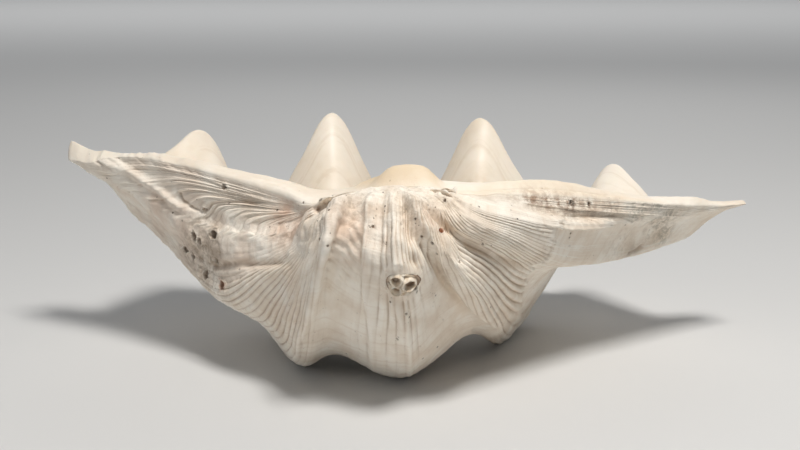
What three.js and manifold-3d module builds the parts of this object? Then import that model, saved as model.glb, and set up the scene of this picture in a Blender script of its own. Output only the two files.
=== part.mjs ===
// One valve of a giant clam (Tridacna type), lying convex side down on three of its ribs,
// hollow side up, with the beak and hinge towards -Y.
// Units are millimetres. +X runs along the hinge to the posterior tip, +Y from the hinge
// to the scalloped margin, +Z up. The origin is under the middle of the shell, on the plane it rests on.
//
// The valve is one closed skin: radial growth lines run from the beak over the outside to the
// margin, turn over the lip, and run down the inside to the bottom of the bowl. Lines
// follow the ribs and the grooves between them; the grooves' ends stand up as the lobes.
// A small cluster of limy worm tubes is cemented in a hollow on the central rib.
import * as THREE from 'three';
import Module from 'manifold-3d';
import { mergeVertices } from 'three/addons/utils/BufferGeometryUtils.js';

// ---- driving dimensions ----
const COLUMNS_PER_LINE = 5;       // mesh columns from one radial line to the next
const OUTER_ROWS = 23;            // mesh rows from the beak to the margin
const LIP_ROWS = 5;               // mesh rows over the lip or hinge plate
const INNER_ROWS = 14;            // mesh rows from the margin to the bowl's bottom
const OUTER_STAGES = [0, 0.1, 0.25, 0.42, 0.6, 0.8, 1];   // growth stages of the outer knots
const INNER_STAGES = [0, 0.14, 0.32, 0.6, 0.82, 1];       // stages of the inner knots
const LOBE_CUT = { firstLine: 7, lastLine: 15, depth: 0.01, offset: 0.38, width: 0.2 };   // margin cut back beside each lobe's tip, in growth stages
const TIP_NOTCHES = [             // margin cut back behind and below the anterior tip, in growth stages
  { line: 4.52, depth: 0.022, width: 0.24 },
  { line: 6.45, depth: 0.05, width: 0.25 },
];
const REST_TRIM = 1.5;            // how far the rib crests are worn flat where the shell rests
const CARDINAL_TOOTH = { x: 1, y: -22, halfLength: 19.5, halfWidth: 10, height: 13.8 };
const CARDINAL_TOOTH_2 = { x: -22, y: -12, halfLength: 9, halfWidth: 6, height: 4 };
const LATERAL_TOOTH = { x0: 52, y0: -21, x1: 118, y1: 10, halfWidth: 6, height: 2.5 };
const TUBE_HOLLOW = { centre: [-1.2, -96.9, 88.8], outward: [0.03, -0.92, -0.39], rx: 10, ry: 8.2, depth: 6 };
const TUBE_GAP = 0.35;            // clear gap between the tube cluster and the shell
const TUBES = [                   // mouth centre in the hollow's plane, outer and bore radius, mouth height
  { u: -3.7, v: 3.6, r: 4.1, bore: 2.8, top: 1.0 },
  { u: -3.9, v: -3.9, r: 3.9, bore: 2.7, top: 0.6 },
  { u: 4.1, v: 0.3, r: 4.4, bore: 3.0, top: 1.2 },
];
const TUBE_BORE_DEPTH = 4.2;

// Knots of every radial line, in order around the margin, before the shell is centred.
const RADIAL_LINES = [
  { // anterior end of the hinge plate
    outer: [[-4.3, -48.4, 137.7], [-39.8, -53, 134.3], [-43, -50, 131.2], [-45.7, -45, 129], [-47.8, -41, 127.6], [-49.8, -38, 126.4], [-52.5, -34, 125]],
    inner: [[-47.1, -0.5, 126.5], [-47.1, 1.1, 112.5], [-47.1, -1.4, 90.5], [-25.5, 15.9, 46.9], [-10.8, 27.7, 33], [-0.5, 36, 30.1]],
    lip: [0.000, -0.100, 0.995], bulge: 3.0 },
  { // lunule edge, near the beak
    outer: [[-5.5, -48.8, 137.8], [-43, -50, 132.5], [-53.5, -40, 123.7], [-61.6, -30, 119.7], [-67.7, -24, 119.8], [-71.9, -19, 120.8], [-75.2, -16, 124.1]],
    inner: [[-69.2, 10.3, 125.6], [-69.2, 11.8, 113.6], [-69.2, 9.3, 95.6], [-37.8, 21.9, 49.7], [-16.5, 30.5, 33.3], [-1.6, 36.6, 30.1]],
    lip: [-0.097, -0.241, 0.966], bulge: 7.5 },
  { // rolled anterior dorsal edge
    outer: [[-6.5, -49.6, 138], [-45.5, -48, 130.2], [-60.2, -33, 117.8], [-75.1, -20, 113.8], [-87.6, -8, 116], [-97.4, 0, 121], [-106.9, 6, 130.4]],
    inner: [[-101.7, 22.2, 131.9], [-101.7, 23.7, 124.9], [-101.7, 21.2, 116.9], [-56, 28.6, 59.5], [-24.9, 33.6, 34.4], [-3.2, 37.2, 30.2]],
    lip: [-0.144, -0.240, 0.960], bulge: 5.5 },
  { // anterior dorsal edge
    outer: [[-7.3, -50.6, 138.3], [-48.7, -46, 128], [-64.8, -31, 113.5], [-88.7, -12, 107.6], [-114.2, 8, 112.7], [-140.4, 28, 123.7], [-165.5, 45, 138.5]],
    inner: [[-162.9, 51.6, 142.2], [-152.9, 49.2, 138.6], [-140.3, 44.9, 133.7], [-77.7, 41.8, 71.5], [-35, 39.8, 35.2], [-5.1, 38.3, 30.2]],
    lip: [-0.238, -0.191, 0.952], bulge: 2.0 },
  { // anterior dorsal edge, towards the tip
    outer: [[-7.8, -51.8, 138.6], [-49.4, -46, 126.7], [-66.6, -33, 110.8], [-91.2, -14, 102.1], [-121.8, 14, 103.4], [-162, 44, 118], [-202.9, 68, 137.6]],
    inner: [[-200.8, 72.7, 140.6], [-185.5, 67.1, 135.1], [-166, 58.6, 127.8], [-92.1, 49.5, 71.1], [-41.7, 43.4, 34.9], [-6.4, 39, 30.2]],
    lip: [-0.286, -0.095, 0.954], bulge: 1.0 },
  { // anterior tip
    outer: [[-8, -53, 139], [-49.9, -47, 125.7], [-66.4, -36, 108.8], [-95.1, -14, 97.5], [-132.5, 18, 95.8], [-185.1, 60, 111.5], [-237.4, 86, 132.5]],
    inner: [[-235.9, 92.3, 146], [-215.1, 85.7, 130.4], [-190.7, 75.3, 122], [-105.9, 58.9, 70.5], [-48.1, 47.7, 34.6], [-7.6, 39.9, 30.2]],
    lip: [-0.752, 0.100, 0.652], bulge: 2.0 },
  { // edge below the anterior tip
    outer: [[-7.8, -54.2, 139.4], [-50.5, -49, 124.8], [-66.6, -42, 104.4], [-95, -18, 84], [-128.2, 16, 73], [-172.3, 66, 91.8], [-220.2, 108, 117.1]],
    inner: [[-216.7, 112.3, 121.3], [-198.8, 99.8, 113.8], [-175.3, 83.3, 104.8], [-97.3, 63.4, 63.6], [-44.1, 49.8, 33.7], [-6.9, 40.3, 30.1]],
    lip: [-0.721, 0.583, 0.374], bulge: 2.5 },
  { // anterior outer rib
    outer: [[-7.3, -55.4, 139.7], [-51, -50, 123.2], [-65.6, -48, 100.1], [-93.6, -22, 72.4], [-121.6, 12, 50.6], [-158.4, 66, 68.8], [-198.2, 122, 97.4]],
    inner: [[-200.7, 116.7, 104.2], [-181.5, 102.1, 99.1], [-158.7, 84.5, 87.9], [-88, 64.1, 56.6], [-39.8, 50.1, 32.9], [-6, 40.3, 30.1]],
    lip: [-0.541, 0.748, 0.385], bulge: 3.0 },
  { // second margin lobe
    outer: [[-6.5, -56.4, 140], [-45, -59, 128.1], [-58.8, -58, 102.4], [-75.6, -40, 64.7], [-93.5, 8, 33.7], [-125, 95, 58], [-155.8, 165, 136.7]],
    inner: [[-149.6, 162.1, 140.8], [-137.6, 139.3, 111.2], [-121.4, 108.3, 78.5], [-67.1, 77.3, 50.4], [-30.1, 56.3, 32.4], [-4.2, 41.5, 30.1]],
    lip: [-0.262, 0.560, 0.786], bulge: 3.6 },
  { // anterior main rib
    outer: [[-5.5, -57.2, 140.2], [-35.1, -64, 137], [-44.2, -87, 122.3], [-52.8, -79, 84.5], [-65.3, -16, 16.6], [-88, 92, 6.2], [-110.1, 190, 58.3]],
    inner: [[-111.3, 184.8, 65.6], [-103.1, 150.2, 47.6], [-90.7, 105.7, 33], [-49.9, 75.9, 31.5], [-22.1, 55.6, 30.1], [-2.6, 41.4, 30]],
    lip: [-0.186, 0.813, 0.551], bulge: 4.0 },
  { // third margin lobe
    outer: [[-4.3, -57.6, 140.3], [-20.6, -68, 140.8], [-27.4, -85.5, 116], [-35.4, -69, 77], [-42.1, -10, 19.2], [-50, 102, 38], [-57.5, 207, 145.7]],
    inner: [[-54.9, 201.2, 150.5], [-53.6, 164.2, 109.3], [-53, 115.5, 65.3], [-28.8, 81.4, 42], [-12.3, 58.1, 31.8], [-0.8, 41.9, 30.1]],
    lip: [-0.045, 0.625, 0.779], bulge: 3.6 },
  { // central rib
    outer: [[-3, -57.8, 140.4], [-3.9, -72, 142.1], [-4.4, -98, 113.4], [-0.3, -86, 69.8], [-0.1, -24, 9.2], [0, 82, 8.8], [1.4, 215, 46.2]],
    inner: [[1.9, 212.4, 54.8], [1.4, 163.2, 44.1], [0.8, 102.1, 34.3], [1.3, 73.9, 31.3], [1.7, 54.7, 30.2], [1.9, 41.2, 30]],
    lip: [0.011, 0.957, 0.291], bulge: 4.0 },
  { // fourth margin lobe
    outer: [[-1.7, -57.6, 140.3], [5.1, -70, 140.6], [13.7, -88, 118.9], [24.5, -69, 85.1], [39.5, -4, 32.4], [50, 100, 34], [61.8, 207, 141.7]],
    inner: [[59.2, 201.2, 146.6], [56.9, 162.3, 103.4], [56.8, 113.3, 58.9], [32.7, 80.2, 44.5], [16.3, 57.6, 31.4], [4.7, 41.8, 30.1]],
    lip: [0.075, 0.627, 0.775], bulge: 3.6 },
  { // posterior main rib
    outer: [[-0.5, -57.2, 140.2], [13.5, -66, 136.8], [25.1, -84, 108.4], [44.2, -64, 77.5], [62.3, 10, 31.7], [80, 103, 1.6], [118.5, 190, 51.8]],
    inner: [[120.7, 183.8, 58], [104.5, 151.5, 39.2], [80.1, 116.1, 26.6], [45.7, 81.7, 43], [22.3, 58.3, 29.8], [5.9, 41.9, 30]],
    lip: [0.371, 0.719, 0.587], bulge: 4.0 },
  { // fifth margin lobe
    outer: [[0.5, -56.4, 140], [16.5, -64, 137], [28.2, -77, 117.1], [53.8, -54, 95.8], [82.9, 2, 66.9], [128, 98, 72], [162.1, 165, 110.2]],
    inner: [[156.2, 164, 115.5], [143.9, 144, 101.7], [126.5, 115.3, 86.8], [71.7, 81.3, 61.8], [34.4, 58.1, 32.8], [8.2, 41.9, 30.1]],
    lip: [0.385, 0.730, 0.564], bulge: 3.6 },
  { // posterior outer rib
    outer: [[1.3, -55.4, 139.7], [18.9, -63, 138], [37, -78, 124.6], [65.1, -56, 105.7], [102.5, -3, 77.6], [151.8, 58, 68.5], [193.5, 116, 72.2]],
    inner: [[197.2, 112.9, 78.5], [183.6, 107.6, 87], [154.3, 96.4, 89], [87.3, 70.7, 80.7], [41.6, 53.2, 33], [9.6, 40.9, 30.1]],
    lip: [0.562, 0.823, 0.076], bulge: 2.0 },
  { // edge below the posterior tip
    outer: [[1.8, -54.2, 139.4], [20.2, -62, 138.5], [38.9, -75, 127.6], [68.7, -55, 112.3], [110.2, -6, 91.1], [170.8, 62, 83.3], [223.3, 103, 85.5]],
    inner: [[220.1, 107.2, 90.2], [200.5, 100.9, 95], [167.8, 90.6, 93], [94.8, 67.4, 83.5], [45.1, 51.7, 33.1], [10.3, 40.6, 30.1]],
    lip: [0.829, 0.556, 0.058], bulge: 1.5 },
  { // posterior tip
    outer: [[2, -53, 139], [20.8, -62, 138.5], [39.5, -73, 131.4], [71.8, -54, 118.4], [117.2, -10, 102.6], [183.1, 56, 95.3], [245.5, 90, 99.2]],
    inner: [[243.3, 94.3, 102.7], [219.2, 88.7, 101], [180.6, 79.7, 97], [102, 61.4, 86.3], [48.4, 48.8, 33.4], [10.9, 40.1, 30.1]],
    lip: [0.843, 0.105, 0.527], bulge: 1.0 },
  { // posterior dorsal edge, at the tip
    outer: [[1.8, -51.8, 138.6], [20.8, -61.5, 138.4], [39.7, -70, 132.7], [71.3, -52, 121.1], [115, -11, 106.1], [175, 43, 98.7], [224.4, 74, 101.6]],
    inner: [[221.1, 79.8, 103.7], [203.6, 76.5, 106], [172.9, 70.6, 100], [97.7, 56.3, 84.6], [46.4, 46.5, 33.5], [10.6, 39.6, 30.1]],
    lip: [0.287, 0.000, 0.958], bulge: 1.5 },
  { // posterior dorsal edge
    outer: [[1.3, -50.6, 138.3], [21.4, -61, 138.9], [40.4, -67, 133.9], [70.2, -50, 123.8], [111.7, -11, 109.3], [164.8, 33, 102.9], [203.9, 58, 104.8]],
    inner: [[202.6, 65.4, 109.8], [190.5, 63.8, 109], [166.5, 60.5, 102], [94.1, 50.6, 81.8], [44.8, 43.8, 33.6], [10.2, 39.1, 30.1]],
    lip: [0.194, -0.145, 0.970], bulge: 2.0 },
  { // posterior dorsal edge
    outer: [[0.5, -49.6, 138], [21.4, -60, 138.7], [40.6, -64, 133.9], [66.7, -48, 124], [99.5, -16, 113.7], [137.2, 13, 109], [165.2, 30, 113.1]],
    inner: [[158.7, 43.5, 114.6], [147.7, 43.1, 112], [127.3, 42.4, 103], [72.2, 40.5, 78.2], [34.6, 39.1, 33.6], [8.3, 38.2, 30.1]],
    lip: [0.098, -0.195, 0.976], bulge: 2.5 },
  { // lateral tooth
    outer: [[-0.5, -48.8, 137.8], [21.4, -60, 138.7], [39, -60, 134.4], [54.7, -51, 127.7], [71.3, -37, 121.8], [89.7, -17, 117.8], [105.8, -4, 122.4]],
    inner: [[99.2, 17, 123.9], [92.4, 18.5, 117], [79.8, 21.2, 102], [45.6, 28.6, 62.4], [22.2, 33.6, 33.6], [5.9, 37.2, 30.1]],
    lip: [0.049, -0.196, 0.979], bulge: 6.0 },
  { // posterior end of the hinge plate
    outer: [[-1.7, -48.4, 137.7], [20.2, -59, 138.5], [27, -56, 135.5], [32.1, -52, 132.9], [36.6, -47, 131.3], [40.6, -41, 130.8], [43.4, -34, 130.7]],
    inner: [[39.3, -1.2, 132.2], [39.3, 0.2, 118.2], [39.3, -2.2, 98.2], [22.9, 15.5, 50.5], [11.7, 27.5, 33.4], [3.9, 36, 30.1]],
    lip: [0.000, -0.100, 0.995], bulge: 2.0 },
  { // hinge plate behind the beak
    outer: [[-3, -48.2, 137.6], [-3, -49, 138.6], [-3, -47, 137.2], [-3, -45, 135.8], [-3, -43, 134.4], [-3, -41, 133.2], [-3, -38, 132.4]],
    inner: [[-2.4, 0, 133.9], [-2.4, 1.5, 119.9], [-2.4, -1, 97.9], [-0.5, 16.2, 47.6], [0.8, 27.9, 33.4], [1.8, 36, 30.1]],
    lip: [0.000, -0.100, 0.995], bulge: 0.8 },
];

// ---- colours ----
const shellMaterial = new THREE.MeshStandardMaterial({ name: 'aged_shell', color: new THREE.Color(0.78, 0.71, 0.63), roughness: 0.8, metalness: 0 });
const tubeMaterial = new THREE.MeshStandardMaterial({ name: 'worm_tube', color: new THREE.Color(0.86, 0.81, 0.74), roughness: 0.7, metalness: 0 });

// ---- splines ----
function solve(A, B) {            // small dense linear solve, B with several columns
  const n = A.length, w = B[0].length;
  for (let c = 0; c < n; c++) {
    let p = c;
    for (let r = c + 1; r < n; r++) if (Math.abs(A[r][c]) > Math.abs(A[p][c])) p = r;
    [A[c], A[p]] = [A[p], A[c]]; [B[c], B[p]] = [B[p], B[c]];
    for (let r = 0; r < n; r++) {
      if (r === c) continue;
      const f = A[r][c] / A[c][c];
      if (f === 0) continue;
      for (let k = c; k < n; k++) A[r][k] -= f * A[c][k];
      for (let k = 0; k < w; k++) B[r][k] -= f * B[c][k];
    }
  }
  return B.map((row, i) => row.map((v) => v / A[i][i]));
}
const zeros = (r, c) => Array.from({ length: r }, () => new Array(c).fill(0));

function naturalSpline(knots, points) {          // returns x => [x, y, z]
  const n = knots.length, w = points[0].length, A = zeros(n, n), B = zeros(n, w);
  A[0][0] = 1; A[n - 1][n - 1] = 1;
  for (let i = 1; i < n - 1; i++) {
    const h0 = knots[i] - knots[i - 1], h1 = knots[i + 1] - knots[i];
    A[i][i - 1] = h0; A[i][i] = 2 * (h0 + h1); A[i][i + 1] = h1;
    for (let k = 0; k < w; k++) B[i][k] = 6 * ((points[i + 1][k] - points[i][k]) / h1 - (points[i][k] - points[i - 1][k]) / h0);
  }
  const m = solve(A, B);
  return (x) => {
    let i = 0;
    while (i < n - 2 && x >= knots[i + 1]) i++;
    const H = knots[i + 1] - knots[i], t = x - knots[i];
    return points[i].map((y, k) => (((m[i + 1][k] - m[i][k]) / (6 * H)) * t + m[i][k] / 2) * t * t
      + ((points[i + 1][k] - y) / H - H * (2 * m[i][k] + m[i + 1][k]) / 6) * t + y);
  };
}

let ringInverse = null;                          // the ring spline's matrix is the same for every ring
function closedSpline(points) {                  // unit spacing, returns x => value
  const n = points.length, w = points[0].length;
  if (!ringInverse) {
    const A = zeros(n, n), I = zeros(n, n);
    for (let i = 0; i < n; i++) { A[i][i] += 4; A[i][(i + n - 1) % n] += 1; A[i][(i + 1) % n] += 1; I[i][i] = 1; }
    ringInverse = solve(A, I);
  }
  const B = points.map((p, i) => p.map((v, k) => 6 * (points[(i + 1) % n][k] - 2 * v + points[(i + n - 1) % n][k])));
  const m = ringInverse.map((row) => Array.from({ length: w }, (_, k) => row.reduce((sum, r, i) => sum + r * B[i][k], 0)));
  return (x) => {
    const i = Math.floor(x) % n, j = (i + 1) % n, t = x - Math.floor(x);
    return points[i].map((y, k) => (((m[j][k] - m[i][k]) / 6) * t + m[i][k] / 2) * t * t
      + ((points[j][k] - y) - (2 * m[i][k] + m[j][k]) / 6) * t + y);
  };
}

// ---- the skin of the valve ----
function gaussianPad(s, d) { return Math.exp(-(s * s * s * s)) * Math.exp(-(d * d)); }

function hingeTeeth([x, y, z]) {                 // teeth rise from the hinge plate only
  let h = 0;
  for (const t of [CARDINAL_TOOTH, CARDINAL_TOOTH_2]) h += t.height * gaussianPad((x - t.x) / t.halfLength, (y - t.y) / t.halfWidth);
  const L = LATERAL_TOOTH, dx = L.x1 - L.x0, dy = L.y1 - L.y0, len = Math.hypot(dx, dy);
  const s = ((x - (L.x0 + L.x1) / 2) * dx + (y - (L.y0 + L.y1) / 2) * dy) / len, d = (-(x - L.x0) * dy + (y - L.y0) * dx) / len;
  h += L.height * gaussianPad(s / (len / 2), d / L.halfWidth);
  return [x, y, z + h];
}

function marginCut(a) {                          // how far short of the last growth stage the margin ends
  const { firstLine, lastLine, depth, offset, width } = LOBE_CUT, x = Math.abs((a + 1) % 2 - 1);
  return (a >= firstLine && a <= lastLine ? depth * Math.exp(-(((x - offset) / width) ** 2)) : 0) + TIP_NOTCHES.reduce((sum, T) => sum + T.depth * Math.exp(-(((a - T.line) / T.width) ** 2)), 0);
}

function columnRows() {
  const columns = RADIAL_LINES.length * COLUMNS_PER_LINE, place = Array.from({ length: columns }, (_, i) => i / COLUMNS_PER_LINE);
  const outerLine = RADIAL_LINES.map((l) => naturalSpline(OUTER_STAGES, l.outer));
  const innerLine = RADIAL_LINES.map((l) => naturalSpline(INNER_STAGES, l.inner));
  const point = (lines, stage, a) => closedSpline(lines.map((f) => f(stage)))(a);
  const rows = [], inner = [];
  for (let j = 0; j < OUTER_ROWS; j++) rows.push(place.map((a) => point(outerLine, (j / (OUTER_ROWS - 1)) * (1 - marginCut(a)), a)));
  for (let j = 0; j < INNER_ROWS; j++) inner.push(place.map((a) => { const u = 2 * marginCut(a); return point(innerLine, u + (1 - u) * (j / (INNER_ROWS - 1)), a); }));
  const lip = closedSpline(RADIAL_LINES.map((l) => [...l.lip, l.bulge]));
  const from = rows[rows.length - 1], to = inner[0];
  for (let j = 1; j <= LIP_ROWS; j++) {
    const v = j / (LIP_ROWS + 1), c = (1 - Math.cos(Math.PI * v)) / 2, s = Math.sin(Math.PI * v) ** 0.8;
    rows.push(from.map((e, i) => {
      const [dx, dy, dz, b] = lip(place[i]), k = (b * s) / Math.hypot(dx, dy, dz);
      return hingeTeeth([e[0] + (to[i][0] - e[0]) * c + dx * k, e[1] + (to[i][1] - e[1]) * c + dy * k, e[2] + (to[i][2] - e[2]) * c + dz * k]);
    }));
  }
  inner.forEach((row, j) => rows.push(j < 2 ? row.map(hingeTeeth) : row));
  return rows;
}

function valveSkin() {
  const rows = columnRows(), n = rows[0].length, m = rows.length;
  const positions = [], index = [];
  const mean = (row) => [0, 1, 2].map((k) => row.reduce((s, p) => s + p[k], 0) / row.length);
  rows.forEach((row) => row.forEach((p) => positions.push(...p)));
  positions.push(...mean(rows[0]), ...mean(rows[m - 1]));
  const at = (i, j) => j * n + (i % n);
  for (let i = 0; i < n; i++) {
    for (let j = 0; j < m - 1; j++) index.push(at(i, j), at(i, j + 1), at(i + 1, j + 1), at(i, j), at(i + 1, j + 1), at(i + 1, j));
    index.push(m * n, at(i, 0), at(i + 1, 0), m * n + 1, at(i + 1, m - 1), at(i, m - 1));
  }
  const g = new THREE.BufferGeometry();
  g.setAttribute('position', new THREE.Float32BufferAttribute(positions, 3));
  g.setIndex(index);
  return g;
}

// ---- solids ----
const wasm = await Module();
wasm.setup();
function toSolid(geometry, matrix) {
  let g = geometry.clone();
  if (matrix) g.applyMatrix4(matrix);
  g.deleteAttribute('normal'); g.deleteAttribute('uv');
  g = mergeVertices(g, 1e-4);
  return new wasm.Manifold(new wasm.Mesh({ numProp: 3, vertProperties: new Float32Array(g.attributes.position.array), triVerts: new Uint32Array(g.index.array) }));
}
function toGeometry(solid) {
  const mesh = solid.getMesh(), g = new THREE.BufferGeometry();
  g.setAttribute('position', new THREE.BufferAttribute(new Float32Array(mesh.vertProperties), 3));
  g.setIndex(new THREE.BufferAttribute(new Uint32Array(mesh.triVerts), 1));
  return g;
}

// frame of the tube hollow: x along the shell, y up the rib, z outward
const hollowZ = new THREE.Vector3(...TUBE_HOLLOW.outward).normalize();
const hollowX = new THREE.Vector3(1, 0, 0).addScaledVector(hollowZ, -hollowZ.x).normalize();
const hollowY = new THREE.Vector3().crossVectors(hollowZ, hollowX);
const hollow = new THREE.Matrix4().makeBasis(hollowX, hollowY, hollowZ).setPosition(...TUBE_HOLLOW.centre);
function plug(r, low, high, segments, u = 0, v = 0, sx = 1, sy = 1) {   // a round bar along the hollow's z
  const g = new THREE.CylinderGeometry(r, r, high - low, segments);
  g.rotateX(Math.PI / 2); g.scale(sx, sy, 1); g.translate(u, v, (low + high) / 2);
  return toSolid(g, hollow);
}

let valve = toSolid(valveSkin());
valve = valve.subtract(plug(1, -TUBE_HOLLOW.depth, 15, 24, 0, 0, TUBE_HOLLOW.rx, TUBE_HOLLOW.ry));
const floor = new THREE.BoxGeometry(600, 600, 60).translate(0, 0, REST_TRIM - 30);
valve = valve.subtract(toSolid(floor));

let tubes = plug(1, -TUBE_HOLLOW.depth + TUBE_GAP, -2.2, 24, 0, 0, TUBE_HOLLOW.rx - TUBE_GAP, TUBE_HOLLOW.ry - TUBE_GAP);
for (const t of TUBES) tubes = tubes.add(plug(t.r, -4, t.top, 16, t.u, t.v));
tubes = tubes.intersect(plug(1, -20, 20, 24, 0, 0, TUBE_HOLLOW.rx - TUBE_GAP, TUBE_HOLLOW.ry - TUBE_GAP));
for (const t of TUBES) tubes = tubes.subtract(plug(t.bore, t.top - TUBE_BORE_DEPTH, 12, 14, t.u, t.v));

// ---- scene graph, centred over the plane the shell rests on ----
const shellGeometry = toGeometry(valve), tubeGeometry = toGeometry(tubes);
shellGeometry.computeBoundingBox();
const box = shellGeometry.boundingBox;
const shift = new THREE.Vector3(-(box.min.x + box.max.x) / 2, -(box.min.y + box.max.y) / 2, -box.min.z);

const group = new THREE.Group();
group.position.copy(shift);
const shellMesh = new THREE.Mesh(shellGeometry, shellMaterial);
shellMesh.name = 'shell_valve';
const tubeMesh = new THREE.Mesh(tubeGeometry, tubeMaterial);
tubeMesh.name = 'worm_tube_cluster';
group.add(shellMesh, tubeMesh);

export default group;
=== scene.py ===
"""Looks of the giant clam valve: chalky folded outside with riblets, growth lines, pits and stains, smooth ivory inside.
The surface runs on radial lines (a, 0 to 24 around the margin) and growth stages (t, 0 at the beak to 1 at the margin).
Lengths are millimetres until the meshes are made; SHIFT takes them to the part's frame."""
import math
import bpy
import bmesh
import numpy as np
from mathutils import Vector, Matrix


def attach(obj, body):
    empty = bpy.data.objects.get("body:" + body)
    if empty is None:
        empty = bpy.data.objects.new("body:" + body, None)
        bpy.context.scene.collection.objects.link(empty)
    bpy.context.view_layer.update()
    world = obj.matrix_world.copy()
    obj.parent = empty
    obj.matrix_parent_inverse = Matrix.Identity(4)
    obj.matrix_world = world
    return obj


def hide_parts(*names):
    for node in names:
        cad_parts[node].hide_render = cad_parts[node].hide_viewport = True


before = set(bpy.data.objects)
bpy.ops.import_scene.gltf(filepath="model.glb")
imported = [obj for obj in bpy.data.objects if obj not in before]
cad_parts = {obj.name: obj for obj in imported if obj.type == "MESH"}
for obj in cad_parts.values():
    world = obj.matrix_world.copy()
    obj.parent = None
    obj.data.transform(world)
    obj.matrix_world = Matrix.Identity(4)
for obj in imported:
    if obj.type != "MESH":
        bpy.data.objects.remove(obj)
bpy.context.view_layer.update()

SHIFT = np.array([-3.6510, -59.0418, -1.5])
CAMERA = (-2.669, -860.0, 287.183)      # before SHIFT
PITCH, LENS = 12.0, 60.75

OUTER_STAGES = np.array([0, .1, .25, .42, .6, .8, 1.0])
INNER_STAGES = np.array([0, .14, .32, .6, .82, 1.0])
REST_Z = 1.5

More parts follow.
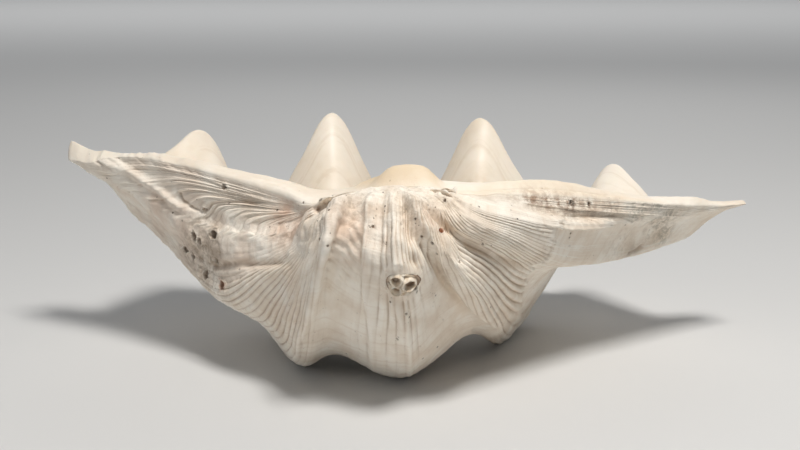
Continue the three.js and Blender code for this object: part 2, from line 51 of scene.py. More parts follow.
# outer knots, inner knots, lip direction, lip bulge
LINES = [
    # 0 anterior end of the hinge plate
    ([[-4.3, -48.4, 137.7], [-39.8, -53, 134.3], [-43, -50, 131.2], [-45.7, -45, 129], [-47.8, -41, 127.6], [-49.8, -38, 126.4], [-52.5, -34, 125]],
     [[-47.1, -0.5, 126.5], [-47.1, 1.1, 112.5], [-47.1, -1.4, 90.5], [-25.5, 15.9, 46.9], [-10.8, 27.7, 33], [-0.5, 36, 30.1]],
     [0.000, -0.100, 0.995], 3.0),
    # 1 lunule edge
    ([[-5.5, -48.8, 137.8], [-43, -50, 132.5], [-53.5, -40, 123.7], [-61.6, -30, 119.7], [-67.7, -24, 119.8], [-71.9, -19, 120.8], [-75.2, -16, 124.1]],
     [[-69.2, 10.3, 125.6], [-69.2, 11.8, 113.6], [-69.2, 9.3, 95.6], [-37.8, 21.9, 49.7], [-16.5, 30.5, 33.3], [-1.6, 36.6, 30.1]],
     [-0.097, -0.241, 0.966], 7.5),
    # 2 rolled anterior dorsal edge
    ([[-6.5, -49.6, 138], [-45.5, -48, 130.2], [-60.2, -33, 117.8], [-75.1, -20, 113.8], [-87.6, -8, 116], [-97.4, 0, 121], [-106.9, 6, 130.4]],
     [[-101.7, 22.2, 131.9], [-101.7, 23.7, 124.9], [-101.7, 21.2, 116.9], [-56, 28.6, 59.5], [-24.9, 33.6, 34.4], [-3.2, 37.2, 30.2]],
     [-0.144, -0.240, 0.960], 5.5),
    # 3 anterior dorsal edge
    ([[-7.3, -50.6, 138.3], [-48.7, -46, 128], [-64.8, -31, 113.5], [-88.7, -12, 107.6], [-114.2, 8, 112.7], [-140.4, 28, 123.7], [-165.5, 45, 138.5]],
     [[-162.9, 51.6, 142.2], [-152.9, 49.2, 138.6], [-140.3, 44.9, 133.7], [-77.7, 41.8, 71.5], [-35, 39.8, 35.2], [-5.1, 38.3, 30.2]],
     [-0.238, -0.191, 0.952], 2.0),
    # 4 anterior dorsal edge, towards the tip
    ([[-7.8, -51.8, 138.6], [-49.4, -46, 126.7], [-66.6, -33, 110.8], [-91.2, -14, 102.1], [-121.8, 14, 103.4], [-162, 44, 118], [-202.9, 68, 137.6]],
     [[-200.8, 72.7, 140.6], [-185.5, 67.1, 135.1], [-166, 58.6, 127.8], [-92.1, 49.5, 71.1], [-41.7, 43.4, 34.9], [-6.4, 39, 30.2]],
     [-0.286, -0.095, 0.954], 1.0),
    # 5 anterior tip
    ([[-8, -53, 139], [-49.9, -47, 125.7], [-66.4, -36, 108.8], [-95.1, -14, 97.5], [-132.5, 18, 95.8], [-185.1, 60, 111.5], [-237.4, 86, 132.5]],
     [[-235.9, 92.3, 146], [-215.1, 85.7, 130.4], [-190.7, 75.3, 122], [-105.9, 58.9, 70.5], [-48.1, 47.7, 34.6], [-7.6, 39.9, 30.2]],
     [-0.752, 0.100, 0.652], 2.0),
    # 6 edge below the anterior tip
    ([[-7.8, -54.2, 139.4], [-50.5, -49, 124.8], [-66.6, -42, 104.4], [-95, -18, 84], [-128.2, 16, 73], [-172.3, 66, 91.8], [-220.2, 108, 117.1]],
     [[-216.7, 112.3, 121.3], [-198.8, 99.8, 113.8], [-175.3, 83.3, 104.8], [-97.3, 63.4, 63.6], [-44.1, 49.8, 33.7], [-6.9, 40.3, 30.1]],
     [-0.721, 0.583, 0.374], 2.5),
    # 7 anterior outer rib
    ([[-7.3, -55.4, 139.7], [-51, -50, 123.2], [-65.6, -48, 100.1], [-93.6, -22, 72.4], [-121.6, 12, 50.6], [-158.4, 66, 68.8], [-198.2, 122, 97.4]],
     [[-200.7, 116.7, 104.2], [-181.5, 102.1, 99.1], [-158.7, 84.5, 87.9], [-88, 64.1, 56.6], [-39.8, 50.1, 32.9], [-6, 40.3, 30.1]],
     [-0.541, 0.748, 0.385], 3.0),
    # 8 second lobe
    ([[-6.5, -56.4, 140], [-45, -59, 128.1], [-58.8, -58, 102.4], [-75.6, -40, 64.7], [-93.5, 8, 33.7], [-125, 95, 58], [-155.8, 165, 136.7]],
     [[-149.6, 162.1, 140.8], [-137.6, 139.3, 111.2], [-121.4, 108.3, 78.5], [-67.1, 77.3, 50.4], [-30.1, 56.3, 32.4], [-4.2, 41.5, 30.1]],
     [-0.262, 0.560, 0.786], 3.6),
    # 9 anterior main rib
    ([[-5.5, -57.2, 140.2], [-35.1, -64, 137], [-44.2, -87, 122.3], [-52.8, -79, 84.5], [-65.3, -16, 16.6], [-88, 92, 6.2], [-110.1, 190, 58.3]],
     [[-111.3, 184.8, 65.6], [-103.1, 150.2, 47.6], [-90.7, 105.7, 33], [-49.9, 75.9, 31.5], [-22.1, 55.6, 30.1], [-2.6, 41.4, 30]],
     [-0.186, 0.813, 0.551], 4.0),
    # 10 third lobe
    ([[-4.3, -57.6, 140.3], [-20.6, -68, 140.8], [-27.4, -85.5, 116], [-35.4, -69, 77], [-42.1, -10, 19.2], [-50, 102, 38], [-57.5, 207, 145.7]],
     [[-54.9, 201.2, 150.5], [-53.6, 164.2, 109.3], [-53, 115.5, 65.3], [-28.8, 81.4, 42], [-12.3, 58.1, 31.8], [-0.8, 41.9, 30.1]],
     [-0.045, 0.625, 0.779], 3.6),
    # 11 central rib
    ([[-3, -57.8, 140.4], [-3.9, -72, 142.1], [-4.4, -98, 113.4], [-0.3, -86, 69.8], [-0.1, -24, 9.2], [0, 82, 8.8], [1.4, 215, 46.2]],
     [[1.9, 212.4, 54.8], [1.4, 163.2, 44.1], [0.8, 102.1, 34.3], [1.3, 73.9, 31.3], [1.7, 54.7, 30.2], [1.9, 41.2, 30]],
     [0.011, 0.957, 0.291], 4.0),
    # 12 fourth lobe
    ([[-1.7, -57.6, 140.3], [5.1, -70, 140.6], [13.7, -88, 118.9], [24.5, -69, 85.1], [39.5, -4, 32.4], [50, 100, 34], [61.8, 207, 141.7]],
     [[59.2, 201.2, 146.6], [56.9, 162.3, 103.4], [56.8, 113.3, 58.9], [32.7, 80.2, 44.5], [16.3, 57.6, 31.4], [4.7, 41.8, 30.1]],
     [0.075, 0.627, 0.775], 3.6),
    # 13 posterior main rib
    ([[-0.5, -57.2, 140.2], [13.5, -66, 136.8], [25.1, -84, 108.4], [44.2, -64, 77.5], [62.3, 10, 31.7], [80, 103, 1.6], [118.5, 190, 51.8]],
     [[120.7, 183.8, 58], [104.5, 151.5, 39.2], [80.1, 116.1, 26.6], [45.7, 81.7, 43], [22.3, 58.3, 29.8], [5.9, 41.9, 30]],
     [0.371, 0.719, 0.587], 4.0),
    # 14 fifth lobe
    ([[0.5, -56.4, 140], [16.5, -64, 137], [28.2, -77, 117.1], [53.8, -54, 95.8], [82.9, 2, 66.9], [128, 98, 72], [162.1, 165, 110.2]],
     [[156.2, 164, 115.5], [143.9, 144, 101.7], [126.5, 115.3, 86.8], [71.7, 81.3, 61.8], [34.4, 58.1, 32.8], [8.2, 41.9, 30.1]],
     [0.385, 0.730, 0.564], 3.6),
    # 15 posterior outer rib
    ([[1.3, -55.4, 139.7], [18.9, -63, 138], [37, -78, 124.6], [65.1, -56, 105.7], [102.5, -3, 77.6], [151.8, 58, 68.5], [193.5, 116, 72.2]],
     [[197.2, 112.9, 78.5], [183.6, 107.6, 87], [154.3, 96.4, 89], [87.3, 70.7, 80.7], [41.6, 53.2, 33], [9.6, 40.9, 30.1]],
     [0.562, 0.823, 0.076], 2.0),
    # 16 edge below the posterior tip
    ([[1.8, -54.2, 139.4], [20.2, -62, 138.5], [38.9, -75, 127.6], [68.7, -55, 112.3], [110.2, -6, 91.1], [170.8, 62, 83.3], [223.3, 103, 85.5]],
     [[220.1, 107.2, 90.2], [200.5, 100.9, 95], [167.8, 90.6, 93], [94.8, 67.4, 83.5], [45.1, 51.7, 33.1], [10.3, 40.6, 30.1]],
     [0.829, 0.556, 0.058], 1.5),
    # 17 posterior tip
    ([[2, -53, 139], [20.8, -62, 138.5], [39.5, -73, 131.4], [71.8, -54, 118.4], [117.2, -10, 102.6], [183.1, 56, 95.3], [245.5, 90, 99.2]],
     [[243.3, 94.3, 102.7], [219.2, 88.7, 101], [180.6, 79.7, 97], [102, 61.4, 86.3], [48.4, 48.8, 33.4], [10.9, 40.1, 30.1]],
     [0.843, 0.105, 0.527], 1.0),
    # 18 posterior dorsal edge, at the tip
    ([[1.8, -51.8, 138.6], [20.8, -61.5, 138.4], [39.7, -70, 132.7], [71.3, -52, 121.1], [115, -11, 106.1], [175, 43, 98.7], [224.4, 74, 101.6]],
     [[221.1, 79.8, 103.7], [203.6, 76.5, 106], [172.9, 70.6, 100], [97.7, 56.3, 84.6], [46.4, 46.5, 33.5], [10.6, 39.6, 30.1]],
     [0.287, 0.000, 0.958], 1.5),
    # 19 posterior dorsal edge
    ([[1.3, -50.6, 138.3], [21.4, -61, 138.9], [40.4, -67, 133.9], [70.2, -50, 123.8], [111.7, -11, 109.3], [164.8, 33, 102.9], [203.9, 58, 104.8]],
     [[202.6, 65.4, 109.8], [190.5, 63.8, 109], [166.5, 60.5, 102], [94.1, 50.6, 81.8], [44.8, 43.8, 33.6], [10.2, 39.1, 30.1]],
     [0.194, -0.145, 0.970], 2.0),
    # 20 posterior dorsal edge
    ([[0.5, -49.6, 138], [21.4, -60, 138.7], [40.6, -64, 133.9], [66.7, -48, 124], [99.5, -16, 113.7], [137.2, 13, 109], [165.2, 30, 113.1]],
     [[158.7, 43.5, 114.6], [147.7, 43.1, 112], [127.3, 42.4, 103], [72.2, 40.5, 78.2], [34.6, 39.1, 33.6], [8.3, 38.2, 30.1]],
     [0.098, -0.195, 0.976], 2.5),
    # 21 lateral tooth
    ([[-0.5, -48.8, 137.8], [21.4, -60, 138.7], [39, -60, 134.4], [54.7, -51, 127.7], [71.3, -37, 121.8], [89.7, -17, 117.8], [105.8, -4, 122.4]],
     [[99.2, 17, 123.9], [92.4, 18.5, 117], [79.8, 21.2, 102], [45.6, 28.6, 62.4], [22.2, 33.6, 33.6], [5.9, 37.2, 30.1]],
     [0.049, -0.196, 0.979], 6.0),
    # 22 posterior end of the hinge plate
    ([[-1.7, -48.4, 137.7], [20.2, -59, 138.5], [27, -56, 135.5], [32.1, -52, 132.9], [36.6, -47, 131.3], [40.6, -41, 130.8], [43.4, -34, 130.7]],
     [[39.3, -1.2, 132.2], [39.3, 0.2, 118.2], [39.3, -2.2, 98.2], [22.9, 15.5, 50.5], [11.7, 27.5, 33.4], [3.9, 36, 30.1]],
     [0.000, -0.100, 0.995], 2.0),
    # 23 hinge plate behind the beak
    ([[-3, -48.2, 137.6], [-3, -49, 138.6], [-3, -47, 137.2], [-3, -45, 135.8], [-3, -43, 134.4], [-3, -41, 133.2], [-3, -38, 132.4]],
     [[-2.4, 0, 133.9], [-2.4, 1.5, 119.9], [-2.4, -1, 97.9], [-0.5, 16.2, 47.6], [0.8, 27.9, 33.4], [1.8, 36, 30.1]],
     [0.000, -0.100, 0.995], 0.8),
]
NL = len(LINES)

# ------------------------------------------------------------------ splines
def nat(xk, Y, x):
    n = len(xk); h = np.diff(xk); A = np.eye(n); B = np.zeros((n, Y.shape[1]))
    for i in range(1, n - 1):
        A[i, i-1] = h[i-1]; A[i, i] = 2 * (h[i-1] + h[i]); A[i, i+1] = h[i]
        B[i] = 6 * ((Y[i+1] - Y[i]) / h[i] - (Y[i] - Y[i-1]) / h[i-1])
    m = np.linalg.solve(A, B)
    i = np.clip(np.searchsorted(xk, x, side='right') - 1, 0, n - 2); t = (x - xk[i])[:, None]; H = h[i][:, None]
    return ((m[i+1] - m[i]) / (6 * H) * t + m[i] / 2) * t * t + ((Y[i+1] - Y[i]) / H - H * (2 * m[i] + m[i+1]) / 6) * t + Y[i]

def per(Y, x):
    n = len(Y); A = np.zeros((n, n)); B = np.zeros_like(Y)
    for i in range(n):
        A[i, i] = 4; A[i, (i-1) % n] += 1; A[i, (i+1) % n] += 1
        B[i] = 6 * (Y[(i+1) % n] - 2 * Y[i] + Y[(i-1) % n])
    m = np.linalg.solve(A, B); i = np.floor(x).astype(int); t = (x - i)[:, None]; i = i % n; j = (i + 1) % n
    return ((m[j] - m[i]) / 6 * t + m[i] / 2) * t * t + ((Y[j] - Y[i]) - (2 * m[i] + m[j]) / 6) * t + Y[i]

def sheet(which, stages, a, t):
    g = np.array([nat(stages, np.array(l[which], float), t) for l in LINES])
    L, nt, _ = g.shape
    return per(g.reshape(L, -1), a).reshape(len(a), nt, 3)

def unit(v):
    return v / np.maximum(np.linalg.norm(v, axis=-1, keepdims=True), 1e-9)

def smooth(e0, e1, x):
    k = np.clip((x - e0) / (e1 - e0), 0, 1)
    return k * k * (3 - 2 * k)

# ------------------------------------------------------------------ noise
def _hash(i, j, k, seed):
    n = (i * 374761393 + j * 668265263 + k * 2147483647 + seed * 144269504) & 0xffffffff
    n = ((n ^ (n >> 13)) * 1274126177) & 0xffffffff
    n = ((n ^ (n >> 16)) * 2246822519) & 0xffffffff
    n = n ^ (n >> 13)
    return (n & 0xffffff) / float(0xffffff) * 2 - 1

def noise3(P, seed=0):
    """smooth value noise, -1 to 1, of points in units of the wavelength"""
    P = np.asarray(P, float); sh = P.shape[:-1]; P = P.reshape(-1, 3)
    I = np.floor(P).astype(np.int64); f = P - I; f = f * f * f * (f * (f * 6 - 15) + 10)
    out = np.zeros(len(P))
    for dx in (0, 1):
        wx = f[:, 0] if dx else 1 - f[:, 0]
        for dy in (0, 1):
            wy = f[:, 1] if dy else 1 - f[:, 1]
            for dz in (0, 1):
                wz = f[:, 2] if dz else 1 - f[:, 2]
                out += wx * wy * wz * _hash(I[:, 0] + dx, I[:, 1] + dy, I[:, 2] + dz, seed)
    return out.reshape(sh)

def fbm(P, wave, octaves=3, seed=0, gain=.5):
    s = np.zeros(np.asarray(P).shape[:-1]); amp = 1.; tot = 0.
    for o in range(octaves):
        s += amp * noise3(np.asarray(P) / wave * 2 ** o + 17.3 * o, seed + o); tot += amp; amp *= gain
    return s / tot

def noise1(x, seed=0):
    i = np.floor(x).astype(np.int64); f = x - i; f = f * f * (3 - 2 * f); z = np.zeros_like(i)
    return _hash(i, z, z, seed) * (1 - f) + _hash(i + 1, z, z, seed) * f

# ------------------------------------------------------------------ the grid
# columns lie closer together over the ribs with riblets
COUNT = np.array([14, 16, 18, 20, 22, 26, 34, 40, 44, 44, 42, 44, 44, 46, 46, 36, 26, 24, 24, 24, 20, 14, 12, 12])
a = np.concatenate([i + np.arange(c) / c for i, c in enumerate(COUNT)])
na = len(a)
NT, NV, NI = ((236, 26, 64))
t = np.linspace(0, 1, NT) ** .93
ui = np.linspace(0, 1, NI) ** 1.15

def teeth(P):
    h = np.zeros(P.shape[:-1])
    for x, y, L, W, H in ((1, -22, 19.5, 10, 13.8), (-22, -12, 9, 6, 4)):
        h += H * np.exp(-((P[..., 0] - x) / L) ** 4) * np.exp(-((P[..., 1] - y) / W) ** 2)
    x0, y0, x1, y1, W, H = 52, -21, 118, 10, 6, 2.5
    dx, dy = x1 - x0, y1 - y0; ln = math.hypot(dx, dy)
    s = ((P[..., 0] - (x0 + x1) / 2) * dx + (P[..., 1] - (y0 + y1) / 2) * dy) / ln
    d = (-(P[..., 0] - x0) * dy + (P[..., 1] - y0) * dx) / ln
    h += H * np.exp(-(s / (ln / 2)) ** 4) * np.exp(-(d / W) ** 2)
    return h

def margin_cut(a):
    x = np.abs((a + 1) % 2 - 1)
    return .010 * np.exp(-((x - .38) / .2) ** 2) * ((a >= 7) & (a <= 15)) + .022 * np.exp(-((a - 4.52) / .24) ** 2) + .05 * np.exp(-((a - 6.45) / .25) ** 2)
def along(which, stages, a, S):
    k = np.linspace(0, 1, 1201); D = sheet(which, stages, a, k); out = np.empty(S.shape + (3,))
    for i in range(len(a)):
        for c in range(3):
            out[i, :, c] = np.interp(S[i], k, D[i, :, c])
    return out
cut = margin_cut(a)[:, None]
T2 = t[None] * (1 - cut); A2 = np.broadcast_to(a[:, None], T2.shape).copy()
O = along(0, OUTER_STAGES, a, T2)
I = along(1, INNER_STAGES, a, 2 * cut + ui[None] * (1 - 2 * cut))

# outward normals of the outer sheet
def grid_normals(P):
    da = np.roll(P, -1, 0) - np.roll(P, 1, 0)
    dt = np.gradient(P, axis=1)
    return unit(np.cross(dt, da)), np.linalg.norm(da, axis=-1)
NO, span = grid_normals(O)
centre = np.array([2., 38., 60.])
if np.mean(np.sum(NO[:, 40:] * (O[:, 40:] - centre), -1)) < 0:
    NO = -NO
step_a = (np.roll(a, -1) - np.roll(a, 1)) % NL
per_line = span / step_a[:, None]          # millimetres per unit of a

# ------------------------------------------------------------------ riblets
RIB_N = np.array([0, 0, 3, 3, 3, 4, 5, 6, 7, 6, 7, 9, 6, 7, 7, 5, 4, 3, 3, 3, 3, 2, 0, 0], float)   # riblets from one line to the next
cum = np.concatenate([[0], np.cumsum(RIB_N)])
phase = np.interp(A2, np.arange(NL + 1), cum)
dens = np.maximum(np.interp((A2 + .5) % NL, np.arange(NL + 1), np.append(RIB_N, RIB_N[0])), 1)
spacing = per_line / dens
# strength of the riblets: rows are growth stages, columns are lines
ST_T = [0, .1, .18, .3, .45, .6, .75, 1]
ST = np.array([
    # hL  b1   b2   b3   b4   tL   L2t  L2   l2   L1   l3   C    l4   R1   l5   R2   R2t  tR   tR2  d1   d2   d3   hR   hM
    [0,   0,   0,   0,   0,   0,   0,   0,   0,   0,   0,   0,   0,   0,   0,   0,   0,   0,   0,   0,   0,   0,   0,   0],
    [0,   0,   0,   0,   0,   0,   0,   .1,  .2,  .2,  .1,  .2,  .1,  .1,  .2,  .2,  .1,  .1,  .1,  .1,  0,   0,   0,   0],
    [0,   0,   0,   0,   0,   0,   .1,  .4,  1.2, 1.0, .4,  1.0, 1.0, .6,  .9,  .7,  .6,  .6,  .6,  .4,  .2,  0,   0,   0],
    [0,   0,   0,   0,   0,   0,   .3,  .9,  1.5, 1.2, .4,  1.2, 1.1, .9,  1.2, 1.0, 1.0, 1.1, 1.1, 1.0, .5,  0,   0,   0],
    [0,   0,   0,   0,   0,   .1,  .6,  1.1, 1.4, 1.1, .3,  .8,  .6,  1.0, 1.3, 1.1, 1.1, 1.1, 1.1, 1.1, .8,  .1,  0,   0],
    [0,   0,   0,   0,   .05, .1,  .4,  .9,  1.0, .5,  .15, .2,  .15, 1.0, 1.2, .5,  .2,  .1,  .1,  .1,  .1,  .1,  0,   0],
    [0,   0,   0,   0,   .05, .1,  .2,  .5,  .7,  .7,  .3,  .5,  .3,  .9,  .7,  .4,  .1,  .1,  .1,  .1,  .05, 0,   0,   0],
    [0,   0,   0,   0,   .05, .1,  .2,  .5,  .6,  .8,  .5,  .8,  .5,  .9,  .6,  .5,  .2,  .1,  .1,  .05, 0,   0,   0,   0]], float)
def table(T, rows, tt, aa):
    cols = np.stack([np.interp(tt, rows, T[:, k]) for k in range(T.shape[1])], -1)      # nt, NL
    i = np.floor(aa).astype(int) % NL; f = (aa - np.floor(aa)); f = f * f * (3 - 2 * f)
    return cols[:, i].T * (1 - f)[:, None] + cols[:, (i + 1) % NL].T * f[:, None]
strength = table(ST, ST_T, t, a)
# the flank of the anterior main rib is riblets up to its sharp crest; the crest line is a little before line 9
strength *= 1 - .85 * smooth(9.08, 9.2, A2) * (1 - smooth(10.1, 10.25, A2)) * (1 - smooth(.55, .75, T2))
bare = np.interp(T2, [.18, .24, .30, .354, .44, .50, .586, .7], [11.62, 11.83, 12.02, 12.10, 12.30, 12.58, 13.02, 13.05])
strength *= 1 - .9 * smooth(11.15, 11.35, A2) * (1 - smooth(-.06, .04, A2 - bare)) * smooth(.34, .42, T2) * (1 - smooth(.6, .8, T2))       # bare groove before the posterior main rib
strength *= 1 + .35 * smooth(0, .15, A2 - bare) * (1 - smooth(14.6, 15.0, A2)) * smooth(.16, .22, T2)
# growth pause where the posterior riblets stop
PAUSE = np.interp(a, [12.6, 13.43, 13.75, 14.13, 14.58, 15.23, 16.45, 18.5, 19.95, 21, 22], [1.3, .662, .609, .568, .548, .545, .523, .54, .58, .64, 1.3])
pause_w = .012 * noise1(a * 9, 5) + .006 * noise1(a * 31, 6)
past = smooth(-.006, .012, T2 - (PAUSE + pause_w)[:, None])
strength *= 1 - .9 * past
warp = .30 * fbm(O, 60, 2, 11) + .10 * fbm(O, 16, 2, 12)
ph = phase + warp
cellno = np.floor(ph)
each = .72 + .42 * noise1(cellno * 7.31 + .5, 21)
saw = np.abs(np.sin(np.pi * ph))                     # 0 in the grooves
profile = saw ** .8
broken = .8 + .3 * fbm(O, 22, 2, 31)
rib_amp = np.clip(spacing, 0, 6.5) * .46 * strength * each * broken * smooth(.8, 2.0, spacing)
rib = rib_amp * (profile - .60)
groove = np.clip((.55 - saw) / .55, 0, 1) * np.clip(strength, 0, 1) * smooth(.8, 2.0, spacing)

# ------------------------------------------------------------------ growth lines
seg = np.linalg.norm(np.diff(O, axis=1), axis=-1)
arc = np.concatenate([np.zeros((na, 1)), np.cumsum(seg, 1)], 1)
arc_mean = np.interp(t, t, arc.mean(0))
grow = arc_mean[None, :] + 2.5 * fbm(O, 45, 2, 41)
left = smooth(1.2, 2.2, A2) * (1 - smooth(6.4, 7.0, A2))                 # anterior dorsal face
rightw = smooth(15.2, 16.4, A2) * (1 - smooth(21.3, 22, A2)) * past      # posterior wing past the pause
umbo = 1 - smooth(.10, .42, T2)
gl = noise1(grow / 2.3, 51) * .55 + noise1(grow / 5.2, 52) * .8 + noise1(grow / 11, 53) * .9
shelf = smooth(4.7, 5.1, A2) * (1 - smooth(6.2, 6.7, A2)) * (1 - smooth(.6, .68, T2))
growth = gl * (.10 + .50 * left * (1 - .85 * shelf) * (1 - .75 * np.exp(-((A2 - 4.2) / .28) ** 2) * smooth(.6, .7, T2)) * smooth(.2, .45, T2) + .42 * rightw + .14 * umbo)
# scalloped growth ledges on the anterior face, one over the other
ledge = np.zeros_like(T2)
for k, (tc, h, w) in enumerate(((.36, .8, .02), (.47, .7, .016), (.56, 1.0, .016), (.655, 1.5, .018), (.71, .9, .014), (.78, 1.3, .016), (.86, 1.0, .012), (.925, .9, .01))):
    tw = T2 - tc - .014 * noise1(a * 2.3 + 10 * k, 60 + k)[:, None] - .012 * fbm(O, 30, 2, 70 + k)
    ledge += h * (smooth(-.004, .004, tw) * np.exp(-np.clip(tw, 0, None) / w * .55))
ledge *= left * (1 - .8 * shelf)
# folded waves in the umbo region: the worn old shell shows wavy layers
waves = np.sin(grow / 2.1 + 2.2 * np.cos(A2 * 6.28 * 1.0)) * .5 * np.exp(-((T2 - .24) / .12) ** 2) * smooth(7.5, 9, A2) * (1 - smooth(14, 16, A2))
# chevrons in the groove between the anterior main rib and the central one
chev = np.sin((arc - 14 * np.abs(A2 - 9.75) + 1.2 * fbm(O, 9, 2, 101)) / 1.15) * .42 * np.exp(-((A2 - 9.7) / .5) ** 4) * smooth(.16, .24, T2) * (1 - smooth(.36, .46, T2))
# step at the pause
step = -.9 * past * smooth(12.9, 13.4, A2) * (1 - smooth(20.6, 21.4, A2)) + .5 * np.exp(-((T2 - PAUSE[:, None] - pause_w[:, None]) / .010) ** 2) * smooth(13, 13.5, A2) * (1 - smooth(20, 21, A2))

rough = .34 * fbm(O, 9, 3, 81) + .7 * fbm(O, 24, 2, 82) + .12 * fbm(O, 4.2, 2, 83)
worn = (1.8 * fbm(O, 13, 3, 84) + .95 * fbm(O, 5.5, 3, 85)) * umbo + (1.3 * fbm(O, 15, 3, 86) + .5 * fbm(O, 6, 2, 87)) * shelf
radial = np.abs(noise1(phase * 1.7 + 2 * warp, 91)) * .35 * (.35 * rightw + .35 * smooth(8.9, 9.3, A2) * (1 - smooth(12.6, 12.9, A2)) * smooth(.3, .5, T2))

# broad relief: sharp sided ribs with grooves between them, each following its own curve over the outside
wob = .9 * fbm(O, 26, 2, 95)
def off(stages, lines):            # millimetres to one side of a curve
    return (A2 - np.interp(T2, stages, lines)) * per_line + wob
def ridge(x, left, right, h):
    return h * np.exp(-np.where(x < 0, x / left, x / right) ** 2)
d_l1 = off([.1, .19, .256, .356, .42, .47, .544, .7, 1], [9.4, 9.30, 9.12, 9.12, 9.05, 8.98, 8.78, 8.9, 9])
d_cl = off([.1, .157, .25, .35, .43, .49, .7, 1], [10.1, 10.15, 10.22, 10.32, 10.43, 10.52, 10.6, 10.6])
d_cr = off([.1, .156, .256, .395, .456, .5, .7, 1], [10.85, 10.9, 10.97, 10.83, 11.0, 11.07, 11.1, 11.1])
d_r1 = off([.1, .18, .24, .30, .354, .44, .50, .586, .7, 1], [11.4, 11.62, 11.83, 12.02, 12.10, 12.30, 12.58, 13.02, 13.05, 13])
d_gl = off([.1, .24, .342, .417, .482, 1], [10.5, 10.52, 10.63, 10.70, 10.80, 10.9])
d_gr = off([.1, .26, .356, .425, .497, 1], [11.35, 11.37, 11.42, 11.43, 11.45, 11.5])
top = smooth(.09, .17, T2); low4 = 1 - smooth(.40, .54, T2); low5 = 1 - smooth(.50, .66, T2)
relief = (ridge(d_l1, 8, 2.4, 4.0) * low5 + ridge(d_cl, 2.2, 5, 3.0) * low5 + ridge(d_cr, 3.0, 3.6, 2.6) * low5 + ridge(d_r1, 2.0, 8, 5.0) * low5) * top
relief -= 4.5 * np.exp(-((A2 - 17.1) / .75) ** 2) * smooth(.44, .56, T2) * (1 - smooth(.68, .84, T2))
relief += 3.6 * np.exp(-((A2 - 20.4) / .9) ** 2) * smooth(.66, .86, T2) + 1.5 * np.exp(-((A2 - 19.3) / .6) ** 2) * smooth(.6, .75, T2) * (1 - smooth(.8, .95, T2))
relief -= (ridge(d_l1 - 8, 4.5, 6, 3.8) + ridge(d_gl, 2.4, 2.4, 1.6) + ridge(d_gr, 3.4, 3.6, 2.4) + ridge(d_r1 + 6.5, 5, 3.4, 4.0)) * top * low4
disp = rib + growth + ledge + waves + chev + step + rough + worn - radial + relief

# ------------------------------------------------------------------ ridges, hollows and lumps by place (millimetres)
def tube_dist(P, pts, reach):
    """distance to a polyline and how far along it, only within reach"""
    pts = np.array(pts, float); Pf = P.reshape(-1, 3); D = np.full(len(Pf), 1e3); S = np.zeros(len(Pf))
    near = np.all((Pf > pts.min(0) - reach) & (Pf < pts.max(0) + reach), 1); Q = Pf[near]
    best = np.full(len(Q), 1e3); bs = np.zeros(len(Q)); ls = 0.; tot = np.linalg.norm(np.diff(pts, axis=0), axis=1).sum()
    for p, q in zip(pts[:-1], pts[1:]):
        v = q - p; ln = np.linalg.norm(v); k = np.clip((Q - p) @ v / ln ** 2, 0, 1)
        d = np.linalg.norm(Q - p - k[:, None] * v, axis=1); m = d < best; best[m] = d[m]; bs[m] = (ls + k[m] * ln) / tot; ls += ln
    D[near] = best; S[near] = bs
    return D.reshape(P.shape[:-1]), S.reshape(P.shape[:-1])

RIDGES = [   # points, half width, height, faded ends
    ([(9, -78, 135), (12, -79, 132), (17, -81, 125), (21, -81, 118), (27, -81, 109), (33, -80, 99)], 3.2, 1.0),
    ([(-71, -43, 88), (-86, -29, 78), (-102, -14, 67), (-119, 7, 53)], 4.5, 2.0),
    ([(12, -70, 136), (21, -72, 128), (33, -77, 121), (45, -72, 114), (58, -58, 106), (77, -38, 96)], 3.6, 2.2),
    ([(-212, 73, 135), (-189, 60, 129), (-167, 47, 119), (-155, 39, 111), (-148, 33, 108), (-133, 23, 108)], 3.0, 2.8),
    ([(95, -28, 117), (130, -4, 105), (163, 18, 98), (190, 45, 97)], 7, .8),
    ([(-53, -49, 123), (-60, -44, 116), (-66, -41, 106), (-70, -41, 98), (-73, -41, 92)], 3.0, 1.6),
]
GROOVES = [
    ([(9, -78, 135), (25, -77, 118), (40, -70, 106), (59, -48, 93), (78, -21, 80)], 2.6, 3.4),
    ([(-130, 18, 72), (-110, -3, 79), (-91, -23, 84), (-74, -41, 89)], 2.6, 2.6),
    ([(-46, -49, 132), (-49, -48, 128), (-53, -47, 124), (-58, -45, 120)], 1.0, 1.6),
    ([(157, 52, 72), (163, 58, 73), (170, 63, 76)], 1.8, 2.4),
    ([(-153, 37, 121), (-149, 35, 114), (-140, 29, 110), (-132, 23, 108), (-127, 18, 115), (-118, 12, 117), (-104, 4, 119), (-92, -4, 119)], 1.3, 1.5),
    ([(-205, 72, 131), (-186, 62, 124), (-167, 49, 114), (-156, 40, 107), (-149, 34, 104)], 2.6, 1.6),
]
for pts, w, h in RIDGES:
    D, S = tube_dist(O, pts, 4 * w); disp += h * np.exp(-(D / w) ** 2) * smooth(0, .08, S) * smooth(0, .12, 1 - S) * (.85 + .3 * fbm(O, 14, 2, 99))
cleft = np.zeros_like(disp)
for pts, w, h in GROOVES:
    D, S = tube_dist(O, pts, 4 * w); g = np.exp(-(D / w) ** 2) * smooth(-.02, .06, S) * smooth(-.02, .1, 1 - S); disp -= h * g; cleft = np.maximum(cleft, g)

